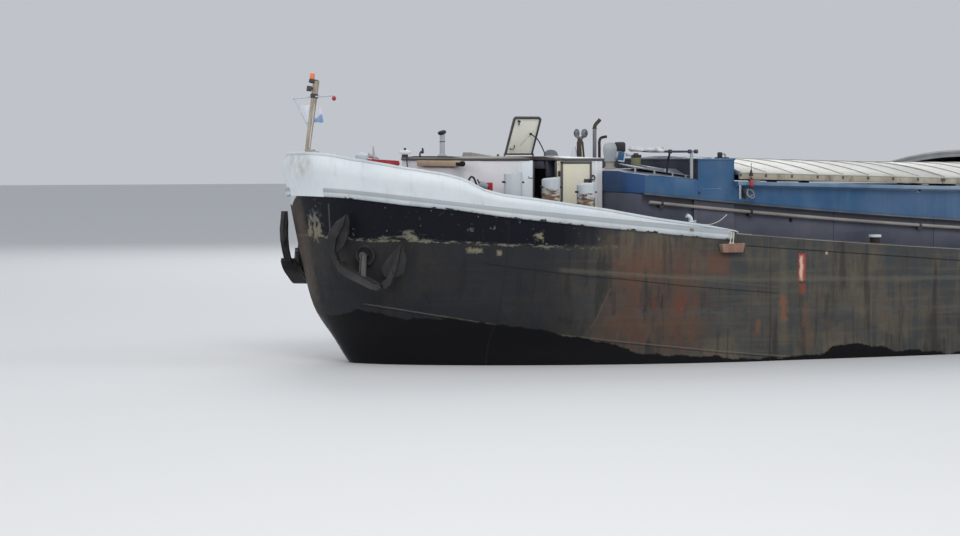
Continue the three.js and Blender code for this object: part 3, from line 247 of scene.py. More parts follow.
def wearOn(tree, place, look):
    values = {"Position": place, "Paint": tone(*look["paint"]), "Under": tone(*look["under"]),
              "Grime": tone(*look["grime"]), "Chips": look["chips"], "Chip Size": look["chipSize"],
              "Streaks": look["streaks"], "Fade": look["fade"], "Roughness": look["rough"]}
    return addNode(tree, "ShaderNodeGroup", values, node_tree=paintWear)


def rustMask(tree, place, amount, scale):
    values = {"Position": place, "Amount": amount, "Scale": scale}
    return addNode(tree, "ShaderNodeGroup", values, node_tree=rustRuns).outputs["Mask"]


def finishShader(tree, shader, colour, rough, height, strength=0.35, distance=0.004):
    tree.links.new(colour, shader.inputs["Base Color"])
    tree.links.new(rough, shader.inputs["Roughness"])
    bump = addNode(tree, "ShaderNodeBump", {"Strength": strength, "Distance": distance, "Height": height})
    tree.links.new(bump.outputs["Normal"], shader.inputs["Normal"])


def paintMaterial(name, extra=None, **look):
    tree, shader, place = startMaterial(name, look.get("metallic", 0.0))
    shader.inputs["Specular IOR Level"].default_value = look.get("gloss", 0.35)
    wear = wearOn(tree, place, look)
    colour = wear.outputs["Colour"]
    if look.get("rust"):
        colour = layer(tree, colour, (128, 76, 46), rustMask(tree, place, look["rust"], 1.0))
    if extra:
        colour = extra(tree, place, colour)
    finishShader(tree, shader, colour, wear.outputs["Roughness"], wear.outputs["Height"], look.get("bump", 0.35))


def axesOf(tree, place):
    parts = addNode(tree, "ShaderNodeSeparateXYZ", {0: place}).outputs
    return parts[0], parts[1], parts[2]


def lineThrough(tree, x, points):
    # height of a line drawn through points of (x, height)
    lows = [min(p[i] for p in points) for i in (0, 1)]
    highs = [max(p[i] for p in points) for i in (0, 1)]
    highs[1] = max(highs[1], lows[1] + 0.001)
    marks = sorted(((px - lows[0]) / (highs[0] - lows[0]), (pz - lows[1]) / (highs[1] - lows[1])) for px, pz in points)
    curve = addNode(tree, "ShaderNodeFloatCurve", {"Value": spread(tree, x, lows[0], highs[0])})
    handles = curve.mapping.curves[0].points
    handles[0].location = marks[0]
    handles[1].location = marks[-1]
    for mark in marks[1:-1]:
        handles.new(*mark)
    for handle in handles:
        handle.handle_type = "VECTOR"
    curve.mapping.update()
    return spread(tree, curve.outputs[0], 0, 1, lows[1], highs[1])


def windowOf(tree, value, low, high, soft):
    start = spread(tree, value, low - soft, low + soft)
    return times(tree, start, spread(tree, value, high - soft, high + soft, 1, 0))


# marks along the hull: line of (x, height), half width, softness, raggedness, colour and strength
hullMarks = [
    ([(23.54, 2.9), (24.16, 2.92), (25.03, 2.97), (25.77, 3.01), (26.17, 3.02), (26.89, 3.02), (27.17, 3.08),
      (27.33, 3.08)],
     0.012, 0.016, 0.09, (118, 116, 102), 0.85),
    ([(22.2, 2.87), (23.6, 2.89), (24.2, 2.92)], 0.004, 0.02, 0.2, (112, 106, 92), 0.6),
    ([(25.9, 3.04), (26.3, 3.1), (26.9, 3.04)], 0.014, 0.02, 0.12, (120, 118, 104), 0.6),
    ([(18.49, 0.71), (20.19, 0.87), (22.18, 1.09), (23.49, 1.25), (24.95, 1.51), (25.84, 1.67), (26.65, 1.82)],
     0.004, 0.014, 0.015, (106, 100, 90), 0.6),
    ([(18.49, 0.68), (20.19, 0.84), (22.18, 1.06), (23.49, 1.22), (24.95, 1.48), (25.84, 1.64), (26.65, 1.79)],
     0.004, 0.014, 0.01, (24, 23, 26), 0.5),
    ([(18.88, 1.95), (19.74, 2.02), (20.99, 2.13), (22.3, 2.28), (22.92, 2.33), (24.27, 2.5), (24.92, 2.6)],
     0.005, 0.014, 0.01, (24, 23, 25), 0.6),
    ([(18.88, 2.06), (21.84, 2.36), (22.6, 2.42)],
     0.003, 0.012, 0.02, (100, 94, 84), 0.4),
    ([(-18.0, 2.27), (8.0, 2.27), (14.6, 2.51), (17.23, 2.70), (19.63, 2.87)],
     0.006, 0.012, 0.005, (22, 21, 24), 0.75),
    ([(-18.0, 2.05), (14.6, 2.18), (19.31, 2.21), (21.71, 2.33), (23.51, 2.46)],
     0.014, 0.05, 0.04, (108, 104, 90), 0.3),
    ([(-18.0, 1.5), (22.0, 1.62)], 0.03, 0.1, 0.12, (84, 88, 92), 0.25),
    ([(22.52, 2.08), (22.79, 1.32)], 0.02, 0.03, 0.05, (104, 98, 86), 0.35),
]
# patches of the hull: x from and to, z from and to, softness, raggedness, colour, strength
hullPatches = [
    ((20.6, 22.55, 0.95, 2.85), 0.3, 1.0, (92, 66, 54), 0.8),
    ((20.0, 20.5, 2.32, 2.76), 0.06, 0.12, (98, 70, 58), 0.7),
    ((21.4, 22.4, 2.4, 2.75), 0.1, 0.3, (104, 74, 60), 0.4),
    ((18.7, 18.87, 0.9, 2.85), 0.05, 0.12, (108, 98, 82), 0.32),
    ((18.71, 18.84, 1.43, 1.9), 0.05, 0.14, (128, 80, 56), 0.6),
    ((18.12, 18.3, 0.84, 1.72), 0.07, 0.18, (104, 80, 62), 0.45),
    ((18.27, 18.33, 1.3, 1.75), 0.03, 0.1, (118, 74, 54), 0.4),
    ((18.27, 18.43, 2.17, 2.71), 0.016, 0.05, (152, 68, 58), 0.85),
    ((18.33, 18.4, 2.2, 2.66), 0.02, 0.08, (212, 182, 166), 0.8),
    ((18.27, 18.42, 2.14, 2.17), 0.01, 0.02, (44, 30, 30), 0.8),
    ((18.27, 18.4, 1.93, 2.12), 0.03, 0.08, (136, 62, 54), 0.65),
    ((19.3, 19.4, 1.2, 1.45), 0.03, 0.12, (122, 82, 60), 0.45),
    ((19.4, 19.52, 1.14, 1.2), 0.02, 0.08, (110, 62, 48), 0.5),
    ((20.95, 21.15, 1.5, 2.0), 0.06, 0.28, (108, 60, 46), 0.5),
    ((21.55, 21.7, 1.6, 2.0), 0.05, 0.24, (104, 60, 46), 0.45),
    ((20.72, 20.8, 1.1, 2.1), 0.04, 0.16, (104, 66, 50), 0.35),
    ((21.42, 21.46, 1.7, 2.0), 0.015, 0.05, (44, 32, 30), 0.6),
    ((24.97, 25.24, 2.8, 2.88), 0.02, 0.12, (132, 126, 104), 0.8),
    ((24.62, 24.72, 2.75, 2.83), 0.02, 0.08, (132, 126, 104), 0.8),
    ((26.1, 26.32, 3.04, 3.18), 0.03, 0.22, (128, 126, 112), 0.6),
    ((23.9, 24.04, 3.04, 3.18), 0.02, 0.3, (134, 130, 108), 0.8),
    ((25.15, 25.25, 3.18, 3.3), 0.02, 0.3, (128, 128, 116), 0.6),
    ((26.1, 26.2, 3.06, 3.12), 0.02, 0.16, (136, 132, 110), 0.6),
    ((17.76, 17.8, 2.68, 2.74), 0.02, 0.02, (204, 170, 146), 0.9),
]
# patches round the stem: y from and to at height 3, z from and to, slant, and the rest as above
stemPatches = [
    ((-1.5, -0.09, 1.2, 3.95), -0.1, 0.1, 0.12, (72, 63, 57), 0.66),
    ((-0.6, -0.25, 2.0, 3.5), -0.1, 0.15, 0.12, (100, 90, 80), 0.3),
    ((-0.08, 0.48, 3.06, 3.46), 0, 0.05, 0.3, (130, 127, 108), 0.75),
    ((0.1, 0.44, 3.3, 3.55), 0, 0.08, 0.3, (84, 90, 100), 0.5),
    ((0.69, 0.72, 3.05, 3.7), 0.17, 0.014, 0.02, (104, 104, 100), 0.5),
]
# y against the lower edge of the white paint there
stemDip = [(-1.5, 3.86), (-1.2, 3.66), (-0.78, 3.65), (-0.58, 3.75), (-0.35, 3.85), (0.05, 3.9)]
bootTop = [(-19.0, 0.74), (14.6, 0.69), (16.2, 0.78), (17.0, 0.93), (17.6, 0.9), (17.93, 0.73), (19.4, 0.7),
           (20.6, 0.77), (21.79, 0.87), (22.46, 1.07), (23.49, 1.27), (24.11, 1.4), (24.95, 1.51), (25.33, 1.57),
           (25.86, 1.55), (26.26, 1.58), (26.48, 1.7), (26.78, 1.67), (26.94, 1.57)]


# x against the bulwark's lower edge and the top of its rubbing strake, both over the deck
bowFeet = [(20.2, -0.119), (21.25, -0.114), (22.8, -0.101), (24.35, -0.087), (24.85, -0.072), (25.37, -0.045),
           (26.38, -0.041), (26.88, -0.019), (27.2, -0.004)]
strakeTops = [(20.05, 0.08), (25.1, 0.1), (27.2, 0.16)]
strakeStops = [19.6, 20.4, 21.2, 22.0, 22.8, 23.6, 24.35, 24.85, 25.37, 26.0, 26.38, 26.88, 27.2, 27.38]


def makeHullPaint():
    tree, shader, place = startMaterial("hullPaint", 0.0)
    shader.inputs["Specular IOR Level"].default_value = 0.12
    x, y, z = axesOf(tree, place)
    wide = noiseOf(tree, stretched(tree, place, 0.5, 0.5, 0.9), 1, 5, 0.6)
    tall = noiseOf(tree, stretched(tree, place, 3.2, 3.2, 0.35), 1, 6, 0.65)
    level = noiseOf(tree, stretched(tree, place, 0.35, 0.35, 9.0), 1, 6, 0.6)
    speck = noiseOf(tree, place, 9, 8, 0.7)
    fine = noiseOf(tree, place, 55, 4)
    fleck = noiseOf(tree, stretched(tree, place, 1, 1, 2.5), 5, 7, 0.7)
    crumb = noiseOf(tree, place, 5.5, 5, 0.6)
    colour = blendColour(tree, spread(tree, wide, 0.38, 0.62), tone(66, 65, 63), tone(92, 85, 74))
    colour = layer(tree, colour, (54, 61, 65), spread(tree, tall, 0.5, 0.58), 0.65)
    blocks = noiseOf(tree, stretched(tree, place, 0.9, 0.9, 1.5), 1, 3, 0.5)
    colour = layer(tree, colour, (56, 62, 66), spread(tree, blocks, 0.5, 0.56), 0.45)
    colour = layer(tree, colour, (90, 84, 70), spread(tree, level, 0.52, 0.66), 0.5)
    colour = layer(tree, colour, (44, 42, 43), spread(tree, tall, 0.46, 0.36), 0.6)
    # the bow is darker, and black above its scraped line
    forward = spread(tree, plus(tree, x, times(tree, wide, 1.4)), 23.0, 24.4)
    colour = layer(tree, colour, (36, 37, 42), forward, 0.8)
    scrape = lineThrough(tree, x, hullMarks[0][0])
    upper = spread(tree, minus(tree, z, scrape), -0.03, 0.05)
    blackZone = times(tree, upper, spread(tree, plus(tree, x, times(tree, tall, 1.2)), 22.9, 24.1))
    colour = layer(tree, colour, (17, 19, 28), blackZone, 0.97)
    for (x0, x1, z0, z1), soft, ragged, shade, strength in hullPatches:
        wobble = shake(tree, speck, ragged * 2)
        across = windowOf(tree, plus(tree, x, wobble), x0, x1, soft)
        mask = times(tree, across, windowOf(tree, plus(tree, z, wobble), z0, z1, soft), strength)
        if x1 - x0 > 1:
            mask = times(tree, mask, spread(tree, tall, 0.34, 0.54), spread(tree, speck, 0.25, 0.5))
        elif ragged > 0.2:
            mask = times(tree, mask, spread(tree, crumb, 0.44, 0.5))
        colour = layer(tree, colour, shade, mask)
    for line, half, soft, ragged, shade, strength in hullMarks:
        wobble = shake(tree, speck, ragged * 2)
        gap = minus(tree, plus(tree, z, wobble), lineThrough(tree, x, line))
        mask = spread(tree, calc(tree, "ABSOLUTE", gap), half, half + soft, 1, 0)
        mask = times(tree, mask, windowOf(tree, x, line[0][0], line[-1][0], 0.06), strength)
        if ragged > 0.08:
            mask = times(tree, mask, spread(tree, fleck, 0.46, 0.53))
        colour = layer(tree, colour, shade, mask)
    # rust bleeding down the plates, pale nicks, dusty starboard side of the stem, and the wet boot band
    colour = layer(tree, colour, (118, 74, 50), rustMask(tree, place, 0.3, 0.8), spread(tree, forward, 0, 1, 1, 0.15))
    nick = times(tree, spread(tree, noiseOf(tree, place, 8.5, 7, 0.72), 0.64, 0.655), blackZone)
    colour = layer(tree, colour, (128, 130, 124), nick, 0.8)
    nose = times(tree, spread(tree, x, 26.4, 26.6), spread(tree, z, 1.5, 1.9))
    for (y0, y1, z0, z1), slant, soft, ragged, shade, strength in stemPatches:
        wobble = shake(tree, speck, ragged * 2)
        upright = minus(tree, y, times(tree, minus(tree, z, 3.0), slant))
        across = windowOf(tree, plus(tree, upright, wobble), y0, y1, soft)
        mask = times(tree, nose, across, windowOf(tree, plus(tree, z, wobble), z0, z1, soft), strength)
        if ragged > 0.2:
            mask = times(tree, mask, spread(tree, crumb, 0.43, 0.5))
        colour = layer(tree, colour, shade, mask)
    dip = minus(tree, z, lineThrough(tree, y, stemDip))
    dip = times(tree, spread(tree, dip, -0.012, 0.012), spread(tree, y, -0.02, 0.03, 1, 0), spread(tree, x, 26.7, 26.8))
    colour = layer(tree, colour, (186, 192, 196), dip)
    boot = plus(tree, minus(tree, z, lineThrough(tree, x, bootTop)),
                shake(tree, noiseOf(tree, place, 2.4, 7, 0.62), 0.26))
    wet = spread(tree, boot, -0.01, 0.02, 1, 0)
    colour = layer(tree, colour, (17, 17, 20), wet)
    rough = plus(tree, spread(tree, speck, 0.3, 0.7, 0.5, 0.74), times(tree, wet, -0.25))
    # plates: welded seams across the hull, and slight dents between the frames
    butt = calc(tree, "ABSOLUTE", minus(tree, calc(tree, "FRACT", times(tree, x, 1 / 5.45)), 0.5))
    weld = spread(tree, butt, 0.0015, 0.004, 1, 0)
    frames = calc(tree, "SINE", times(tree, x, 2 * math.pi / 0.52))
    height = plus(tree, times(tree, fine, 0.25), times(tree, wide, 1.4))
    height = plus(tree, height, plus(tree, times(tree, weld, 0.8), times(tree, frames, 0.16)))
    colour = layer(tree, colour, (40, 37, 36), weld, 0.35)
    finishShader(tree, shader, colour, rough, height, 0.5, 0.01)


def bowDust(tree, place, colour):
    # brown dust on the stem, and faint runs of rust
    x = axesOf(tree, place)[0]
    stem = times(tree, spread(tree, x, 27.43, 27.5), spread(tree, noiseOf(tree, place, 4, 6), 0.4, 0.65), 0.5)
    colour = layer(tree, colour, (150, 134, 116), stem)
    return layer(tree, colour, (168, 134, 102), rustMask(tree, place, 0.3, 1.3))


def washesAndFrontShade(tree, place, colour):
    # paler upright washes where water has run; painted shade makes the fore end of the trunk, which turns forward, a
    # deeper blue, darkest on its front face
    x = axesOf(tree, place)[0]
    runs = noiseOf(tree, stretched(tree, place, 2.2, 2.2, 0.22), 1, 5, 0.6)
    colour = layer(tree, colour, (88, 118, 144), spread(tree, runs, 0.5, 0.72), 0.4)
    colour = layer(tree, colour, (26, 62, 110), spread(tree, x, 21.52, 21.56), 0.8)
    return layer(tree, colour, (40, 48, 66), spread(tree, x, 21.8, 21.87), 0.4)


def shadeUnderLedge(tree, place, colour):
    # painted shade under the ledge, darkest right under it and fading lower down
    x, y, z = axesOf(tree, place)
    stops = [-19 + 2.5 * i for i in range(17)]
    below = minus(tree, lineThrough(tree, x, [(stop, ledgeZ(stop)) for stop in stops]), z)
    mask = times(tree, spread(tree, below, 0.06, 0.2, 1, 0), spread(tree, x, 21.56, 21.6, 1, 0), 0.75)
    return layer(tree, colour, (36, 38, 48), mask)


def strakeEdge(tree, place, colour):
    # dusty upper half of the rubbing strake, and black paint showing along its ragged lower edge
    x, y, z = axesOf(tree, place)
    foot = lineThrough(tree, x, [(stop, deckZ(stop) + valueAlong(bowFeet, stop)) for stop in strakeStops])
    top = lineThrough(tree, x, [(stop, deckZ(stop) + valueAlong(strakeTops, stop)) for stop in strakeStops])
    share = addNode(tree, "ShaderNodeMapRange", {0: z, 1: foot, 2: top}, clamp=False).outputs[0]
    dusty = times(tree, windowOf(tree, share, 0.5, 1.02, 0.05), spread(tree, x, 19.4, 19.5), 0.8)
    colour = layer(tree, colour, (142, 149, 152), dusty)
    ragged = noiseOf(tree, stretched(tree, place, 1, 1, 1.6), 4.5, 7, 0.72)
    bare = spread(tree, minus(tree, share, spread(tree, ragged, 0.52, 0.72, 0.02, 0.4)), -0.02, 0.02, 1, 0)
    colour = layer(tree, colour, (34, 33, 36), bare, spread(tree, x, 19.4, 19.5))
    patch = times(tree, windowOf(tree, x, 20.83, 20.92, 0.012), windowOf(tree, share, 0.42, 0.78, 0.06))
    return layer(tree, colour, (120, 88, 66), patch, spread(tree, ragged, 0.4, 0.5))


def mould(tree, place, colour):
    spots = noiseOf(tree, stretched(tree, place, 3.2, 3.2, 1.6), 1, 8, 0.7)
    return layer(tree, colour, (70, 66, 58), spread(tree, spots, 0.52, 0.7), 0.85)


def grain(tree, place, colour):
    lines = noiseOf(tree, stretched(tree, place, 26, 26, 3), 1, 5, 0.6)
    return layer(tree, colour, (84, 66, 54), spread(tree, lines, 0.42, 0.66), 0.4)


def strands(tree, place, colour):
    twist = addNode(tree, "ShaderNodeTexWave", {"Vector": place, "Scale": 60.0, "Distortion": 1.5})
    return layer(tree, colour, (120, 112, 98), twist.outputs[1], 0.4)


def makePostPaint():
    # mooring posts: white above, peeling to cream, orange and rust near the deck, more so aft
    tree, shader, place = startMaterial("postPaint")
    look = {"paint": (168, 176, 182), "under": (150, 128, 104), "grime": (150, 146, 140), "chips": 0.16,
            "chipSize": 2.2, "streaks": 0.4, "fade": 0.4, "rough": 0.45}
    wear = wearOn(tree, place, look)
    x, y, z = axesOf(tree, place)
    above = minus(tree, z, plus(tree, times(tree, x, 0.163), 0.13))
    blotch = noiseOf(tree, stretched(tree, place, 1, 1, 2.6), 6.5, 7, 0.68)
    ragged = plus(tree, above, shake(tree, blotch, 0.5))
    aft = spread(tree, x, 22.7, 24.1, 1.0, 0.0)
    bare = times(tree, spread(tree, ragged, -0.03, -0.01, 1, 0), spread(tree, plus(tree, aft, blotch), 0.62, 0.8))
    rust = blendColour(tree, spread(tree, blotch, 0.42, 0.58), tone(70, 56, 50), tone(120, 94, 74))
    rust = layer(tree, rust, (172, 166, 152), spread(tree, noiseOf(tree, stretched(tree, place, 0.6, 0.6, 2), 9, 5),
            0.5, 0.58))
    colour = blendColour(tree, bare, wear.outputs["Colour"], rust)
    height = minus(tree, wear.outputs["Height"], times(tree, bare, 0.6))
    finishShader(tree, shader, colour, plus(tree, wear.outputs["Roughness"], times(tree, bare, 0.25)), height, 0.5)


def makeFlagCloth():
    tree, shader, place = startMaterial("flagCloth")
    x, y, z = axesOf(tree, place)
    fold = noiseOf(tree, place, 5, 4)
    low = spread(tree, plus(tree, times(tree, x, 0.55), z), 19.98, 20.03, 1, 0)
    colour = blendColour(tree, low, tone(224, 230, 238), tone(132, 168, 208))
    colour = layer(tree, colour, (160, 166, 176), spread(tree, fold, 0.4, 0.7), 0.2)
    weave = addNode(tree, "ShaderNodeTexWave", {"Vector": place, "Scale": 180.0}, bands_direction="DIAGONAL").outputs[1]
    finishShader(tree, shader, colour, spread(tree, fold, 0, 1, 0.8, 0.95), weave, 0.2, 0.001)
    shader.inputs["Sheen Weight"].default_value = 0.2


def makeTarpCloth():
    tree, shader, place = startMaterial("tarpCloth")
    fold = noiseOf(tree, place, 9, 6)
    colour = blendColour(tree, spread(tree, fold, 0.42, 0.68), tone(204, 206, 208), tone(150, 150, 148))
    weave = addNode(tree, "ShaderNodeTexWave", {"Vector": place, "Scale": 140.0}, bands_direction="DIAGONAL").outputs[1]
    finishShader(tree, shader, colour, spread(tree, fold, 0, 1, 0.6, 0.8), weave, 0.25, 0.001)


def makeGlass():
    tree, shader, place = startMaterial("glass")
    haze = noiseOf(tree, place, 6, 4)
    tree.links.new(blendColour(tree, spread(tree, haze, 0.4, 0.7), tone(216, 228, 228), tone(196, 210, 206)),
                   shader.inputs["Base Color"])
    tree.links.new(spread(tree, haze, 0.3, 0.7, 0.03, 0.12), shader.inputs["Roughness"])
    shader.inputs["Transmission Weight"].default_value = 0.92
    shader.inputs["IOR"].default_value = 1.45


# name, paint, undercoat and grime; chips, their size, streaks, fading and roughness; what else a paint has
paints = [
    ("bulwarkWhite", (208, 216, 221), (122, 84, 58), (158, 156, 148), (0.07, 1.2, 0.35, 0.3, 0.42), {"extra": bowDust}),
    ("strakeGrey", (184, 193, 198), (96, 72, 56), (120, 118, 110), (0.28, 1.6, 0.4, 0.6, 0.45), {"extra": strakeEdge}),
    ("houseWhite", (205, 204, 210), (128, 96, 72), (150, 146, 140), (0.08, 1.5, 0.4, 0.5, 0.45), {}),
    ("blue", (36, 80, 120), (54, 58, 74), (30, 48, 76), (0.08, 1.4, 0.4, 0.15, 0.4), {"extra": washesAndFrontShade}),
    ("railBlue", (72, 106, 136), (58, 60, 72), (60, 82, 104), (0.22, 2.2, 0.4, 0.5, 0.42), {}),
    ("coamingGrey", (68, 72, 86), (86, 70, 62), (48, 48, 58), (0.06, 1.2, 0.4, 0.12, 0.5),
     {"rust": 0.2, "extra": shadeUnderLedge}),
    # wellDark also stands in for painted shade inside the fore house and in the cowl mouths
    ("wellDark", (52, 54, 68), (70, 62, 60), (38, 38, 46), (0.08, 1.6, 0.4, 0.1, 0.55), {}),
    ("coverCream", (168, 167, 158), (150, 140, 120), (150, 146, 130), (0.08, 2.0, 0.45, 0.6, 0.42), {}),
    ("coverSkirt", (152, 143, 125), (104, 88, 70), (98, 90, 76), (0.15, 2.0, 0.8, 0.4, 0.55), {"extra": mould}),
    ("doorCream", (206, 201, 178), (140, 120, 96), (160, 150, 126), (0.08, 2.5, 0.35, 0.4, 0.5), {}),
    ("trimBrown", (58, 53, 55), (96, 82, 72), (40, 36, 36), (0.15, 3.0, 0.3, 0.2, 0.6), {}),
    ("deckGrey", (92, 92, 98), (110, 76, 56), (62, 58, 56), (0.16, 1.0, 0.6, 0.5, 0.7), {"bump": 0.6}),
    ("vesselGrey", (150, 156, 162), (108, 78, 58), (104, 100, 96), (0.14, 3.0, 0.5, 0.4, 0.5), {}),
    ("paleGrey", (186, 194, 202), (120, 96, 76), (130, 128, 124), (0.1, 3.0, 0.45, 0.5, 0.48), {}),
    ("lidGrey", (112, 118, 128), (84, 80, 84), (82, 84, 92), (0.14, 2.0, 0.4, 0.5, 0.5), {}),
    ("pipeTan", (118, 110, 104), (92, 68, 54), (76, 70, 66), (0.25, 4.0, 0.4, 0.4, 0.55), {}),
    ("red", (158, 36, 42), (92, 60, 52), (96, 34, 36), (0.14, 2.4, 0.4, 0.2, 0.45), {}),
    ("rustIron", (24, 22, 25), (52, 45, 41), (18, 17, 19), (0.55, 2.4, 0.7, 0.12, 0.66),
     {"gloss": 0.2, "rust": 0.2, "bump": 0.8, "metallic": 0.15}),
    ("rustBrown", (46, 34, 31), (80, 56, 44), (28, 23, 23), (0.5, 4.0, 0.6, 0.1, 0.8), {"gloss": 0.15, "bump": 0.8}),
    ("darkIron", (38, 36, 39), (84, 64, 52), (28, 26, 27), (0.2, 3.0, 0.4, 0.15, 0.6), {"gloss": 0.25}),
    ("mastTan", (152, 138, 118), (112, 96, 80), (110, 100, 88), (0.2, 3.0, 0.6, 0.4, 0.6), {"extra": grain}),
    ("boardTan", (186, 164, 134), (140, 112, 84), (140, 116, 88), (0.1, 3.0, 0.5, 0.3, 0.6), {}),
    ("roofFelt", (122, 116, 112), (90, 80, 74), (84, 78, 74), (0.1, 1.6, 0.5, 0.3, 0.7), {}),
    ("lidPale", (240, 239, 226), (190, 182, 160), (206, 203, 188), (0.04, 3.0, 0.35, 0.3, 0.5), {}),
    ("cowlGrey", (72, 77, 85), (68, 62, 58), (50, 52, 57), (0.14, 4.0, 0.4, 0.3, 0.5), {}),
    ("footTan", (152, 146, 130), (110, 92, 74), (112, 104, 92), (0.12, 4.0, 0.4, 0.3, 0.6), {}),
    ("olive", (104, 106, 74), (70, 64, 50), (66, 62, 48), (0.15, 4.0, 0.5, 0.3, 0.5), {}),
    ("fenderWood", (124, 84, 64), (84, 60, 48), (88, 62, 48), (0.3, 4.0, 0.5, 0.5, 0.8), {"bump": 0.7, "extra": grain}),
    ("varnish", (124, 76, 42), (96, 60, 36), (80, 48, 28), (0.08, 3.0, 0.4, 0.15, 0.3), {"extra": grain}),
    ("rope", (204, 200, 188), (150, 142, 124), (140, 132, 114), (0.2, 6.0, 0.4, 0.4, 0.85),
     {"bump": 0.6, "extra": strands}),
    ("holdBrown", (98, 78, 66), (120, 84, 60), (64, 52, 46), (0.4, 1.2, 0.8, 0.2, 0.8), {"bump": 0.6}),
    # cabinDark is near-black; it also stands in for painted shade in holes, in the pits and inside the fore house
    ("cabinDark", (26, 25, 28), (48, 46, 46), (22, 22, 24), (0.1, 2.0, 0.4, 0.05, 0.7), {"gloss": 0.1}),
    ("rubber", (26, 26, 28), (48, 46, 44), (44, 42, 40), (0.1, 3.0, 0.4, 0.1, 0.65), {}),
    ("engineGreen", (62, 92, 74), (60, 54, 48), (34, 36, 32), (0.2, 3.0, 0.6, 0.2, 0.45), {}),
    ("bronze", (150, 116, 66), (84, 92, 66), (84, 68, 42), (0.3, 4.0, 0.5, 0.1, 0.38), {"metallic": 0.9}),
    ("greenPaint", (40, 110, 76), (60, 60, 50), (34, 70, 50), (0.1, 4.0, 0.3, 0.2, 0.45), {}),
    ("orange", (222, 106, 38), (160, 90, 50), (150, 80, 40), (0.08, 4.0, 0.3, 0.3, 0.4), {}),
]


def makeMaterials():
    makeHullPaint()
    for name, paint, under, grime, (chips, chipSize, streaks, fade, rough), more in paints:
        paintMaterial(name, paint=paint, under=under, grime=grime, chips=chips, chipSize=chipSize, streaks=streaks,
                      fade=fade, rough=rough, **more)
    makePostPaint()
    makeFlagCloth()
    makeTarpCloth()
    makeGlass()


makeMaterials()
print("materials made")


# ---- modelling helpers
def merge(bm, part, mat=0, turn=None, fixNormals=True):
    # a finished shape joins the piece
    if turn:
        bmesh.ops.transform(part, matrix=turn, verts=part.verts)
    if fixNormals:
        bmesh.ops.recalc_face_normals(part, faces=part.faces)
    if mat is not None:
        for face in part.faces:
            face.material_index = mat
    carrier = bpy.data.meshes.new("carrier")
    part.to_mesh(carrier)
    part.free()
    bm.from_mesh(carrier)
    bpy.data.meshes.remove(carrier)


def turnAbout(pivot, axis, degrees):
    pivot = Vector(pivot)
    turn = Matrix.Rotation(math.radians(degrees), 4, Vector(axis))
    return Matrix.Translation(pivot) @ turn @ Matrix.Translation(-pivot)


def bisect(part, point, way, **more):
    every = part.verts[:] + part.edges[:] + part.faces[:]
    return bmesh.ops.bisect_plane(part, geom=every, plane_co=point, plane_no=way, **more)


def ease(part, edges, width, segments=2, **more):
    bmesh.ops.bevel(part, geom=edges, offset=width, segments=segments, profile=0.5, affect="EDGES", material=-1, **more)


def addBox(bm, low, high, bevel=0.006, mat=0, turn=None, segments=2):
    low, high = Vector(low), Vector(high)
    part = bmesh.new()
    size = Matrix.Diagonal((*(high - low), 1))
    bmesh.ops.create_cube(part, size=1.0, matrix=Matrix.Translation((low + high) / 2) @ size)
    if bevel:
        ease(part, part.edges[:], bevel, segments)
    merge(bm, part, mat, turn)


def addSideBox(bm, side, low, high, bevel=0.006, mat=0, segments=2):
    # a box given for the port side; side -1 mirrors it to starboard
    if side < 0:
        low, high = (low[0], -high[1], low[2]), (high[0], -low[1], high[2])
    addBox(bm, low, high, bevel, mat, segments=segments)


def addRod(bm, start, end, radius, endRadius=None, sides=16, mat=0, bevel=0.0):
    start, end = Vector(start), Vector(end)
    along = end - start
    aim = Vector((0, 0, 1)).rotation_difference(along).to_matrix().to_4x4()
    part = bmesh.new()
    bmesh.ops.create_cone(part, cap_ends=True, segments=sides, radius1=radius,
                          radius2=radius if endRadius is None else endRadius, depth=along.length,
                          matrix=Matrix.Translation((start + end) / 2) @ aim)
    if bevel:
        rims = [e for e in part.edges if len(e.link_faces) == 2 and e.calc_face_angle() > 1.0]
        ease(part, rims, bevel)
    merge(bm, part, mat)


def addBall(bm, centre, radius, mat=0, squash=(1, 1, 1), sides=16):
    part = bmesh.new()
    bmesh.ops.create_uvsphere(part, u_segments=sides, v_segments=sides // 2, radius=radius,
                              matrix=Matrix.Translation(Vector(centre)) @ Matrix.Diagonal((*squash, 1)))
    merge(bm, part, mat)


def addTurned(bm, profile, centre, mat=0, steps=24, turn=None):
    # profile of (radius, height), spun about an upright axis
    part = bmesh.new()
    centre = Vector(centre)
    verts = [part.verts.new(centre + Vector((r, 0, h))) for r, h in profile]
    edges = [part.edges.new(pair) for pair in zip(verts, verts[1:])]
    bmesh.ops.spin(part, geom=verts + edges, cent=centre, axis=(0, 0, 1), dvec=(0, 0, 0), angle=2 * math.pi,
                   steps=steps, use_merge=True, use_duplicate=False)
    bmesh.ops.remove_doubles(part, verts=part.verts, dist=0.0002)
    merge(bm, part, mat, turn)


def addRing(bm, centre, axis, radius, tube, mat=0, steps=28, sides=8):
    part = bmesh.new()
    aim = Vector((0, 0, 1)).rotation_difference(Vector(axis)).to_matrix().to_4x4()
    tilt = Matrix.Translation((radius, 0, 0)) @ Matrix.Rotation(math.pi / 2, 4, "X")
    made = bmesh.ops.create_circle(part, segments=sides, radius=tube, matrix=tilt)
    bmesh.ops.spin(part, geom=made["verts"] + part.edges[:], cent=(0, 0, 0), axis=(0, 0, 1), dvec=(0, 0, 0),
                   angle=2 * math.pi, steps=steps, use_merge=True, use_duplicate=False)
    bmesh.ops.remove_doubles(part, verts=part.verts, dist=0.0001)
    merge(bm, part, mat, Matrix.Translation(Vector(centre)) @ aim)


def formSheet(across, along, placeAt, closed=False):
    # a grid whose corners are moved to placeAt(u, w), with u and w from 0 to 1
    part = bmesh.new()
    grid = bmesh.ops.create_grid(part, x_segments=across, y_segments=along, size=1)
    for vert in grid["verts"]:
        vert.co = placeAt((vert.co.x + 1) / 2, (vert.co.y + 1) / 2)
    if closed:
        bmesh.ops.remove_doubles(part, verts=part.verts, dist=0.0001)
    return part


